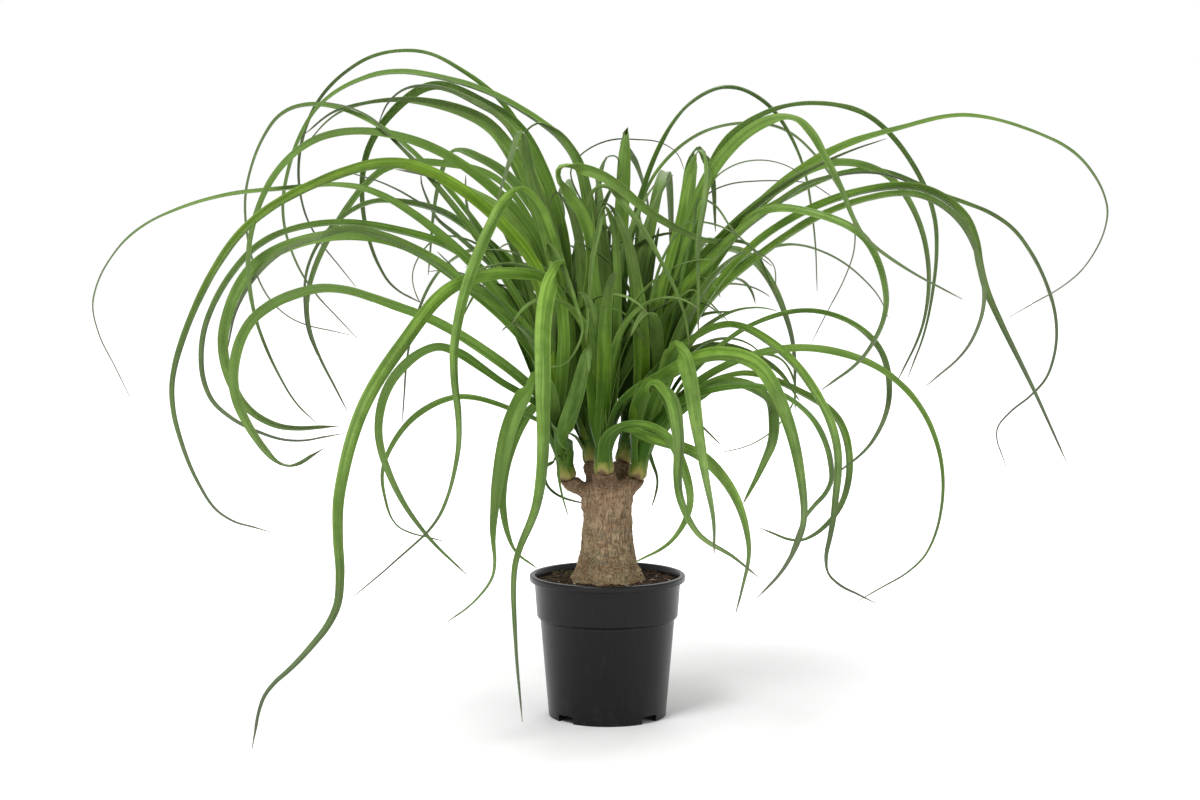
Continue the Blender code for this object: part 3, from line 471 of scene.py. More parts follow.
def channels_of(tree, name):
    """The red, green and blue of a piece's own layer, as a node's outputs."""
    layer = tree.nodes.new("ShaderNodeAttribute")
    layer.attribute_name = name
    channels = tree.nodes.new("ShaderNodeSeparateColor")
    tree.links.new(layer.outputs["Color"], channels.inputs["Color"])
    return channels


def tinted(tree, value, between, shares, under, colour):
    """Lays a colour over another; its share of the mix goes from one share to the other."""
    return blend_colours(tree, map_value(tree, value, *between, *shares), under, colour)


NECK_LOW = 0.168  # the trunk's neck is the ring of bark between these two heights
NECK_HIGH = 0.174
STUB_TOPS = 0.184  # above it the bark turns rough and woody
SPREAD_KEPT = 0.85  # share of their reach past the neck that the stubs keep
SHOULDER_LOW = 0.1815  # below it the stubs under the shoots don't stick out, above the high one
SHOULDER_HIGH = 0.1920  # they reach their full spread
trunk = copy_of_node("trunk", "trunk_bark")
smoothed_over(trunk, 0.00062, 20, 0.7)
trunk_mesh = trunk.data
neck = [vertex.co for vertex in trunk_mesh.vertices if NECK_LOW < vertex.co.z < NECK_HIGH]
neck_centre = sum(neck, Vector()) / len(neck)
neck_radius = sum((spot - neck_centre).to_2d().length for spot in neck) / len(neck) + 0.001
for vertex in trunk_mesh.vertices:
    outward = (vertex.co - neck_centre).to_2d()
    beyond = outward.length - neck_radius
    if vertex.co.z > NECK_HIGH and beyond > 0.0:
        kept = min(1.0, max(0.0, (vertex.co.z - SHOULDER_LOW) / (SHOULDER_HIGH - SHOULDER_LOW)))
        kept = kept * kept * (3 - 2 * kept)
        inward = outward.normalized() * beyond * (SPREAD_KEPT * kept - 1.0)
        vertex.co += inward.to_3d()
trunk_mesh.update()
normals = [vertex.normal.copy() for vertex in trunk_mesh.vertices]
bark_shades = []
for vertex, normal in zip(trunk_mesh.vertices, normals):
    spot = vertex.co.copy()
    drift = spot + 0.0012 * noise.noise_vector(spot * 160.0)
    upright = ridge(drift, 520.0, 60.0, 0.15)
    level = ridge(drift + Vector((7.0, 3.0, 0.0)), 90.0, 460.0, 0.10)
    knots = noise.fractal(spot * 95.0, 0.9, 2.0, 3)
    grain = noise.fractal(spot * 520.0, 0.8, 2.0, 3)
    top = min(1.0, max(0.0, (spot.z - STUB_TOPS) / 0.008))
    height = 0.0003 - 0.0006 * upright - 0.0004 * level + 0.0009 * knots + 0.0003 * grain
    height += top * 0.0012 * noise.noise(spot * 230.0)
    vertex.co = spot + normal * height
    bark_shades.append((max(upright, 0.8 * level), 0.5 + 0.5 * knots, 0.5 + 0.5 * grain, 1.0))
trunk_mesh.shade_smooth()
add_shade_layer(trunk_mesh, "bark", bark_shades)

bark, tree, shader = new_material("fissured_bark")
place = tree.nodes.new("ShaderNodeTexCoord").outputs["Object"]
parts = channels_of(tree, "bark")
heights = tree.nodes.new("ShaderNodeSeparateXYZ")
tree.links.new(place, heights.inputs["Vector"])
tan = tinted(tree, parts.outputs["Green"], (0.25, 0.75), (0.0, 1.0), (0.30, 0.195, 0.105),
             (0.52, 0.38, 0.23))
grey = blend_colours(tree, add_speckle(tree, place, 170.0, 0.48, 0.66), tan, (0.27, 0.235, 0.15))
pink = tinted(tree, heights.outputs["Z"], (0.150, 0.178), (0.0, 0.45), grey, (0.42, 0.27, 0.17))
green = tinted(tree, heights.outputs["Z"], (0.128, 0.107), (0.0, 0.5), pink, (0.23, 0.19, 0.07))
woody = tinted(tree, heights.outputs["Z"], (0.188, 0.198), (0.0, 0.65), green, (0.13, 0.07, 0.035))
# darker brown in the bark's cracks: partly the bark's own colour, partly painted shade in the fissures
crack_colour_and_shade = tinted(tree, parts.outputs["Red"], (0.25, 1.0), (0.0, 0.75), woody, (0.11, 0.07, 0.04))
flecks = blend_colours(tree, add_speckle(tree, place, 1000.0, 0.58, 0.70), crack_colour_and_shade, (0.62, 0.49, 0.33))
tree.links.new(flecks, shader.inputs["Base Color"])
shader.inputs["Roughness"].default_value = 0.88
shader.inputs["Specular IOR Level"].default_value = 0.2
add_bump(tree, shader, add_speckle(tree, place, 1100.0, 0.3, 0.75), 0.6, 0.0005)
trunk.data.materials.append(bark)
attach(trunk, "root")
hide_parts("trunk")


# ---------------------------------------------------------------------------
# Shoots.
# Each shoot is the tight bundle of young sheaths that the leaves grow from: pale yellow-green,
# swollen at its foot, ribbed lengthwise, and brown and papery where it leaves the bark.
# ---------------------------------------------------------------------------
sheath, tree, shader = new_material("leaf_sheath")
parts = channels_of(tree, "growth")
place = tree.nodes.new("ShaderNodeTexCoord").outputs["Object"]
young = tinted(tree, parts.outputs["Red"], (0.06, 0.26), (0.0, 1.0), (0.26, 0.29, 0.04),
               (0.04, 0.12, 0.004))
papery = tinted(tree, parts.outputs["Red"], (0.02, 0.12), (0.85, 0.0), young, (0.38, 0.29, 0.10))
scar = tinted(tree, parts.outputs["Red"], (-0.01, 0.035), (0.9, 0.0), papery, (0.12, 0.065, 0.03))
edges = tinted(tree, parts.outputs["Green"], (0.0, 0.25), (0.6, 0.0), scar, (0.05, 0.10, 0.012))
tree.links.new(edges, shader.inputs["Base Color"])
shader.inputs["Roughness"].default_value = 0.5
shader.inputs["Specular IOR Level"].default_value = 0.35
add_bump(tree, shader, add_speckle(tree, place, 700.0, 0.3, 0.75), 0.2, 0.0003)

SHEATHS_ROUND = 4  # sheath edges seen round a shoot at one height
SLIMMER = 0.34  # share taken off a shoot's radius, since the leaf feet round it add their own
shoot_lines = {}
for node in sorted(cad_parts):
    if not node.startswith("shoot_"):
        continue
    shoot = copy_of_node(node, node + "_sheaths")
    spots = [vertex.co.copy() for vertex in shoot.data.vertices]
    low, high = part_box(node)
    feet = [spot for spot in spots if spot.z < low[2] + 0.004]
    tops = [spot for spot in spots if spot.z > high[2] - 0.003]
    foot = sum(feet, Vector()) / len(feet)
    axis = (sum(tops, Vector()) / len(tops) - foot).normalized()
    shoot_lines[node] = (foot, axis)
    smoothed_over(shoot, 0.0006, 8, 0.6)
    across = axis.orthogonal().normalized()
    third = axis.cross(across)
    shades = []
    normals = [vertex.normal.copy() for vertex in shoot.data.vertices]
    for vertex, normal in zip(shoot.data.vertices, normals):
        from_foot = vertex.co - foot
        share = from_foot.dot(axis) / (high[2] - low[2])
        outward = from_foot - axis * from_foot.dot(axis)
        bearing = math.atan2(outward.dot(third), outward.dot(across))
        overlap = (SHEATHS_ROUND * bearing / (2 * math.pi) + 1.3 * share) % 1.0
        knob = math.exp(-((share - 0.04) / 0.08) ** 2)
        vertex.co -= outward * (SLIMMER - 0.16 * knob)
        vertex.co += normal * (0.0008 * overlap + 0.0004 * noise.noise(vertex.co * 260.0))
        started = share + 0.05 * noise.noise(vertex.co * 130.0) + 0.03 * math.sin(3.0 * bearing)
        shades.append((started, min(overlap, 1.0 - overlap) * 2.0, 0.0, 1.0))
    shoot.data.shade_smooth()
    add_shade_layer(shoot.data, "growth", shades)
    shoot.data.materials.append(sheath)
    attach(shoot, "root")
    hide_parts(node)


# ---------------------------------------------------------------------------
# Strap leaves.
# Long channelled ribbons with fine parallel veins: they clasp the shoot at their foot, arch over
# and hang to thread-like tips. Each follows the course of its CAD leaf, read from that node.
# ---------------------------------------------------------------------------
def leaf_course(node):
    """Centre, half width, side and underside direction of the CAD leaf's rings, from its foot up."""
    work = bmesh.new()
    work.from_mesh(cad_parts[node].data)
    bmesh.ops.remove_doubles(work, verts=work.verts, dist=0.00001)
    bmesh.ops.triangulate(work, faces=work.faces)
    tip = min(work.faces, key=lambda face: face.calc_perimeter())
    ring = set(tip.verts)
    seen = set(ring)
    rings = []
    while ring:
        rings.append([vertex.co.copy() for vertex in ring])
        beyond = {edge.other_vert(vertex) for vertex in ring for edge in vertex.link_edges}
        ring = beyond - seen
        seen |= ring
    work.free()
    rings = [corners for corners in rings[::-1] if len(corners) == 3]
    middles = [sum(corners, Vector()) / 3 for corners in rings]
    course = []
    for place, corners in enumerate(rings):
        ahead = middles[min(place + 1, len(rings) - 1)] - middles[max(place - 1, 0)]
        spans = [((corners[i] - corners[j]).length, i, j) for i, j in ((0, 1), (1, 2), (2, 0))]
        width, left, right = max(spans)
        keel = corners[3 - left - right]
        centre = (corners[left] + corners[right]) / 2
        side = (corners[right] - corners[left]).normalized()
        if side.cross(ahead).dot(keel - centre) < 0:
            side = -side
        under = side.cross(ahead).normalized()
        course.append((*centre, width / 2, *side, *under))
    return np.array(course)


def along(stations, values, wanted):
    """Smooth cubic interpolation of rows of values between their stations."""
    slopes = np.gradient(values, stations, axis=0)
    index = np.clip(np.searchsorted(stations, wanted, side="right") - 1, 0, len(stations) - 2)
    gap = (stations[index + 1] - stations[index])[:, None]
    t = ((wanted - stations[index]) / gap[:, 0])[:, None]
    first = (2 * t ** 3 - 3 * t ** 2 + 1) * values[index] + (t ** 3 - 2 * t ** 2 + t) * gap * slopes[index]
    second = (3 * t ** 2 - 2 * t ** 3) * values[index + 1] + (t ** 3 - t ** 2) * gap * slopes[index + 1]
    return first + second


def unit(rows):
    return rows / np.linalg.norm(rows, axis=1)[:, None]


STATION = 0.0045  # distance between cross-sections along a leaf
ACROSS = 8  # strips across the blade
THICKNESS = 0.00042
SHEATH_LENGTH = 0.06
BROAD_HALF = 0.006  # half width of a broad blade, against which the material reads the others
ROOTED = 0.008  # how far a blade's foot reaches down into its shoot
DRAWN_IN = 0.40  # how far a foot is drawn in to its shoot's middle, as a share of its distance
DRAWN_IN_LENGTH = 0.07  # and the length over which that fades away


def build_leaf(name, course, foot_width, clasp_radius, tone, seed):
    """A folded blade, bent from a flat grid along its course, with veins and a thin edge."""
    centres = course[:, :3]
    stations = np.concatenate([[0.0], np.cumsum(np.linalg.norm(np.diff(centres, axis=0), axis=1))])
    length = stations[-1]
    count = max(24, int(length / STATION))
    wanted = np.linspace(0.0, length, count)
    rows = along(stations, course, wanted)
    centre, half = rows[:, :3], rows[:, 3]
    ahead = unit(np.gradient(centre, axis=0))
    side = unit(rows[:, 4:7] - ahead * np.sum(rows[:, 4:7] * ahead, axis=1)[:, None])
    under = np.cross(side, ahead)
    share = wanted / length
    clasp = np.clip(1 - wanted / SHEATH_LENGTH, 0.0, 1.0) ** 1.3
    half = np.maximum(half, 0.0005) * (1 - clasp) + clasp * foot_width
    half = np.where(share > 0.97, half * (1 - share) / 0.03 + 0.00015, half)

    bpy.ops.object.select_all(action="DESELECT")
    bpy.ops.mesh.primitive_grid_add(x_subdivisions=ACROSS, y_subdivisions=count - 1, size=2.0)
    leaf = bpy.context.object
    leaf.name = name
    mesh = leaf.data
    flat = np.empty(len(mesh.vertices) * 3)
    mesh.vertices.foreach_get("co", flat)
    flat = flat.reshape(-1, 3)
    u = flat[:, 0]
    row = np.rint((flat[:, 1] + 1) / 2 * (count - 1)).astype(int)
    slow = np.array([noise.noise(Vector((seed * 3.7, w * 14.0, 0.5))) for w in wanted])
    quick = np.array([noise.noise(Vector((seed * 1.3, w * 60.0, 4.5))) for w in wanted])
    h = half[row]
    bend = clasp[row] / clasp_radius + 1e-6
    angle = u * h * bend
    sideways = np.sin(angle) / bend
    inward = (1 - np.cos(angle)) / bend
    open_blade = 1 - clasp[row]
    fold = (0.48 + 0.3 * slow[row]) * h * (1 - np.abs(u)) * open_blade
    flutter = 0.08 * h * quick[row] * u * open_blade
    points = (centre[row] + side[row] * sideways[:, None]
              + under[row] * (fold + flutter - inward)[:, None])
    mesh.vertices.foreach_set("co", points.ravel())
    mesh.update()
    flesh = leaf.modifiers.new("flesh", "SOLIDIFY")
    flesh.thickness = THICKNESS
    flesh.offset = 0.0
    bpy.ops.object.modifier_apply(modifier="flesh")
    shell = len(u)
    total = len(mesh.vertices)
    u = np.tile(u, total // shell)
    row = np.tile(row, total // shell)
    lower = np.repeat([0.0, 1.0], shell)[:total]
    for layer_name, channels in (
        ("blade", (u * 0.5 + 0.5, share[row], half[row] / BROAD_HALF)),
        ("tone", (np.full(total, tone[0]), np.full(total, tone[1]), lower)),
    ):
        layer = mesh.attributes.new(layer_name, "FLOAT_COLOR", "POINT")
        colours = np.stack([*channels, np.ones(total)], axis=1)
        layer.data.foreach_set("color", colours.astype(np.float32).ravel())
    bpy.ops.object.shade_smooth_by_angle(angle=math.radians(32.0))
    mesh.materials.append(blade_green)
    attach(leaf, "root")
    return leaf


blade_green, tree, shader = new_material("strap_leaf")
blade = channels_of(tree, "blade")
tone = channels_of(tree, "tone")
place = tree.nodes.new("ShaderNodeTexCoord").outputs["Object"]
vein_place = tree.nodes.new("ShaderNodeCombineXYZ")
tree.links.new(map_value(tree, blade.outputs["Red"], 0.0, 1.0, 0.0, 17.0), vein_place.inputs["X"])
tree.links.new(map_value(tree, blade.outputs["Green"], 0.0, 1.0, 0.0, 4.0), vein_place.inputs["Y"])
tree.links.new(map_value(tree, tone.outputs["Red"], 0.0, 1.0, 0.0, 40.0), vein_place.inputs["Z"])
veins = add_speckle(tree, vein_place.outputs["Vector"], 1.0, 0.38, 0.62)
band_place = tree.nodes.new("ShaderNodeCombineXYZ")
tree.links.new(map_value(tree, blade.outputs["Red"], 0.0, 1.0, 3.0, 6.5), band_place.inputs["X"])
tree.links.new(map_value(tree, blade.outputs["Green"], 0.0, 1.0, 0.0, 5.0), band_place.inputs["Y"])
tree.links.new(map_value(tree, tone.outputs["Red"], 0.0, 1.0, 0.0, 70.0), band_place.inputs["Z"])
bands = add_speckle(tree, band_place.outputs["Vector"], 1.0, 0.40, 0.60)
deep = blend_colours(tree, tone.outputs["Red"], (0.034, 0.125, 0.0010), (0.300, 0.500, 0.090))
fresh = tinted(tree, tone.outputs["Green"], (0.0, 1.0), (0.0, 0.85), deep, (0.25, 0.42, 0.004))
# paler, greyer green over the outer part of each blade: partly the leaf's own colour, partly painted sheen
outward = tinted(tree, blade.outputs["Green"], (0.38, 0.85), (0.0, 0.8), fresh, (0.240, 0.325, 0.130))
veined = tinted(tree, veins, (0.0, 1.0), (0.0, 0.5), outward, (0.27, 0.46, 0.09))
banded = tinted(tree, bands, (0.0, 1.0), (0.0, 0.5), veined, (0.032, 0.110, 0.002))
fleck = tinted(tree, add_speckle(tree, place, 55.0, 0.4, 0.7), (0.0, 1.0), (0.0, 0.3), banded,
               (0.028, 0.100, 0.002))
middle = tree.nodes.new("ShaderNodeVectorMath")
middle.operation = "DISTANCE"
middle.inputs[1].default_value = (-0.005, 0.01, 0.245)
tree.links.new(place, middle.inputs[0])
shaded = tinted(tree, middle.outputs["Value"], (0.03, 0.13), (0.75, 0.0), fleck, (0.014, 0.065, 0.001))
margin = tree.nodes.new("ShaderNodeMath")
margin.operation = "SUBTRACT"
margin.inputs[1].default_value = 0.5
tree.links.new(blade.outputs["Red"], margin.inputs[0])
from_middle = tree.nodes.new("ShaderNodeMath")
from_middle.operation = "ABSOLUTE"
tree.links.new(margin.outputs["Value"], from_middle.inputs[0])
# painted highlight: a lighter green along both margins of each blade
rim = tinted(tree, from_middle.outputs["Value"], (0.42, 0.5), (0.0, 0.55), shaded, (0.26, 0.40, 0.10))
foot = tinted(tree, blade.outputs["Green"], (0.012, 0.045), (0.65, 0.0), rim, (0.19, 0.25, 0.025))
greyed = tinted(tree, add_speckle(tree, place, 9.0, 0.42, 0.60), (0.0, 1.0), (0.0, 0.55), foot,
                (0.070, 0.110, 0.032))
aged = tinted(tree, blade.outputs["Green"], (0.30, 0.60), (0.0, 1.0), foot, greyed)
far_out = map_value(tree, middle.outputs["Value"], 0.15, 0.26, 0.0, 0.85)
weathered = blend_colours(tree, far_out, aged, (0.125, 0.140, 0.105))
thin = tinted(tree, blade.outputs["Blue"], (0.62, 0.18), (0.0, 1.0), aged, weathered)
pale_below = tinted(tree, tone.outputs["Blue"], (0.0, 1.0), (0.0, 0.35), thin, (0.15, 0.25, 0.06))
dry = tinted(tree, blade.outputs["Green"], (0.965, 1.0), (0.0, 0.8), pale_below, (0.20, 0.16, 0.09))
tree.links.new(dry, shader.inputs["Base Color"])
shader.inputs["Roughness"].default_value = 0.42
shader.inputs["Specular IOR Level"].default_value = 0.11
add_bump(tree, shader, veins, 0.4, 0.0003)


def rooted(course, foot, axis, depth):
    """The course drawn in at its foot and carried down into its shoot, so that no edge shows."""
    course = course.copy()
    steps = np.linalg.norm(np.diff(course[:, :3], axis=0), axis=1)
    for row, travelled in zip(course, np.concatenate([[0.0], np.cumsum(steps)])):
        spot = Vector(row[:3])
        on_axis = foot + axis * (spot - foot).dot(axis)
        drawn_in = DRAWN_IN * max(0.0, 1.0 - travelled / DRAWN_IN_LENGTH) ** 1.2
        row[:3] = spot + (on_axis - spot) * drawn_in
    first = course[0].copy()
    start = Vector(first[:3])
    on_axis = foot + axis * (start - foot).dot(axis)
    inward = (on_axis - start) * 0.45
    down = start + inward - axis * depth
    first[:3] = down
    return np.vstack([first, course])


GENTLE_BEND = 18.0  # bends per metre: a blade bends across its face, so a sharp arch is seen
SHARP_BEND = 50.0  # nearly edge-on
EDGE_ON = math.radians(15.0)


def faced(course, early, middle, late):
    """The course with its blade twisted so that it shows that much of its face to the front.

    The three angles hold at a quarter, a half and four fifths of the length: 0 is edge-on and 90
    is full face. The foot keeps its own turn, where it clasps the shoot.
    """
    centres = course[:, :3]
    ahead = unit(np.gradient(centres, axis=0))
    edge_on = unit(np.array([0.0, 1.0, 0.0]) - ahead * ahead[:, 1:2] + 1e-6)
    face_on = np.cross(ahead, edge_on)
    own = course[:, 4:7]
    own_angle = np.unwrap(np.arctan2(np.sum(own * face_on, axis=1), np.sum(own * edge_on, axis=1)))
    steps = np.linalg.norm(np.diff(centres, axis=0), axis=1)
    share = np.concatenate([[0.0], np.cumsum(steps)]) / steps.sum()
    wanted = np.radians(np.interp(share, (0.25, 0.5, 0.8), (early, middle, late)))
    heading = np.unwrap(np.arctan2(ahead[:, 2], ahead[:, 0]))
    sharpness = np.abs(np.gradient(heading) / np.gradient(share * steps.sum()))
    bent = np.clip((sharpness - GENTLE_BEND) / (SHARP_BEND - GENTLE_BEND), 0.0, 1.0)
    wanted = wanted * (1 - bent) + EDGE_ON * bent
    here = np.interp(0.3, share, own_angle)
    shown = np.interp(0.3, share, wanted)
    choices = [(side, half_turns) for side in (1, -1) for half_turns in range(-4, 5)]
    side, half_turns = min(choices, key=lambda c: abs(c[0] * shown + c[1] * math.pi - here))
    target = side * wanted + half_turns * math.pi
    taken = np.clip((share - 0.04) / 0.16, 0.0, 1.0)
    taken = taken * taken * (3 - 2 * taken)
    angle = own_angle * (1 - taken) + target * taken
    turned = edge_on * np.cos(angle)[:, None] + face_on * np.sin(angle)[:, None]
    result = course.copy()
    result[:, 4:7] = turned
    result[:, 7:10] = np.cross(turned, ahead)
    return result


# how much of each blade shows to the front, by its leaf's name: early, middle and late
FACING = {
    "left_far_arch": (60, 20, 20), "left_wide_arch": (75, 45, 40), "left_back_loop": (30, 25, 20),
    "left_dark_arch": (60, 40, 50), "left_inner_arch": (70, 40, 60), "left_flat_tip": (55, 60, 70),
    "left_kinked": (60, 40, 70), "top_arch_left": (45, 14, 18), "top_broad_left": (22, 16, 30),
    "top_back_left": (70, 60, 40), "left_hook": (45, 60, 40), "left_short_dark": (60, 70, 50),
    "left_low_loop": (30, 50, 80), "front_left_long": (55, 75, 80), "front_left_drop": (70, 80, 35),
    "low_left_dark": (30, 60, 80), "low_left_thin": (25, 45, 40), "low_left_twist": (90, 90, 20),
    "low_left_behind": (80, 85, 60), "front_fold_left": (85, 75, 40), "front_blade": (88, 88, 88),
    "upright_back": (85, 60, 33), "upright_right": (80, 85, 75), "cross_over": (65, 70, 50),
    "front_fold_right": (85, 85, 60), "front_drop_right": (80, 65, 50), "front_curl_in": (70, 80, 50),
    "front_low_right": (60, 70, 40), "right_far_loop": (75, 25, 18), "right_tall_arch": (60, 20, 35),
    "right_inner_bow": (60, 45, 60), "right_long_fall": (40, 40, 60), "right_thin_far": (60, 30, 30),
    "right_branch": (50, 40, 40), "top_arch_right": (40, 14, 20), "right_twist": (80, 60, 40),
    "right_curl_in": (85, 50, 50), "back_thin_right": (25, 18, 18), "back_round_right": (50, 18, 20),
    "right_low_arch": (30, 25, 60), "right_wide_fall": (32, 32, 32), "right_front_fall": (35, 45, 60),
    "right_behind_fall": (30, 45, 70), "right_broad_drop": (75, 80, 60),
    "right_dark_drop": (40, 20, 50), "right_short_hook": (80, 80, 70),
}
# lightness and yellowness of the blades that stand out from the rest
TONES = {
    "left_wide_arch": (0.6, 0.9), "left_inner_arch": (0.45, 0.2), "top_broad_left": (0.3, 0.1),
    "left_short_dark": (0.15, 0.1), "left_hook": (0.3, 0.3), "left_low_loop": (0.25, 0.2),
    "front_left_drop": (0.85, 0.15), "front_left_long": (0.6, 0.35), "front_fold_left": (0.85, 0.2),
    "front_blade": (0.8, 0.0), "front_fold_right": (0.9, 0.15), "front_drop_right": (0.8, 0.1),
    "cross_over": (0.9, 0.45), "upright_right": (0.3, 0.8), "upright_back": (0.1, 0.5),
    "right_far_loop": (0.5, 0.6), "right_branch": (0.4, 0.5), "low_left_twist": (0.55, 0.3),
    "right_dark_drop": (0.0, 0.1), "low_left_dark": (0.05, 0.1), "left_dark_arch": (0.2, 0.2),
}
# blades whose rising part leans further aside than their CAD leaf: where, how widely, how far
SWAYED = {"cross_over": (0.29, 0.09, 0.024), "front_left_drop": (0.30, 0.10, 0.006)}
# blades that stay broad for longer before they taper: how much wider in their last half
BROADER = {
    "left_kinked": 2.0, "left_flat_tip": 2.0, "right_curl_in": 1.5, "right_short_hook": 1.5,
    "front_left_long": 1.15, "low_left_behind": 1.2, "right_dark_drop": 1.3,
}
leaf_nodes = sorted(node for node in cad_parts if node.startswith("leaf_"))
for number, node in enumerate(leaf_nodes):
    course = leaf_course(node)
    name = node.removeprefix("leaf_")
    seat = Vector(course[0, :3])
    nearest = min(shoot_lines, key=lambda shoot: (shoot_lines[shoot][0] - seat).length)
    draw = random.Random(100 + number)
    # painted light: blades whose tips reach towards the front get a lighter green than those behind
    forward = float(np.clip(0.5 - course[-1, 1] * 2.2, 0.0, 1.0))
    tone = (0.25 + 0.6 * forward * draw.uniform(0.6, 1.0), draw.uniform(0.0, 0.5))
    tone = TONES.get(name, tone)
    if name in SWAYED:
        where, widely, far = SWAYED[name]
        course[:, 0] += far * np.exp(-((np.linspace(0.0, 1.0, len(course)) - where) / widely) ** 2)
    if name in BROADER:
        late = np.clip((np.linspace(0.0, 1.0, len(course)) - 0.45) / 0.3, 0.0, 1.0)
        course[:, 3] = np.minimum(course[:, 3] * (1 + (BROADER[name] - 1) * late), 0.0055)
    if name in FACING:
        course = faced(course, *FACING[name])
    course = rooted(course, *shoot_lines[nearest], ROOTED)
    leaf = build_leaf(node + "_blade", course, draw.uniform(0.005, 0.0068), 0.0065, tone, number)
    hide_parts(node)


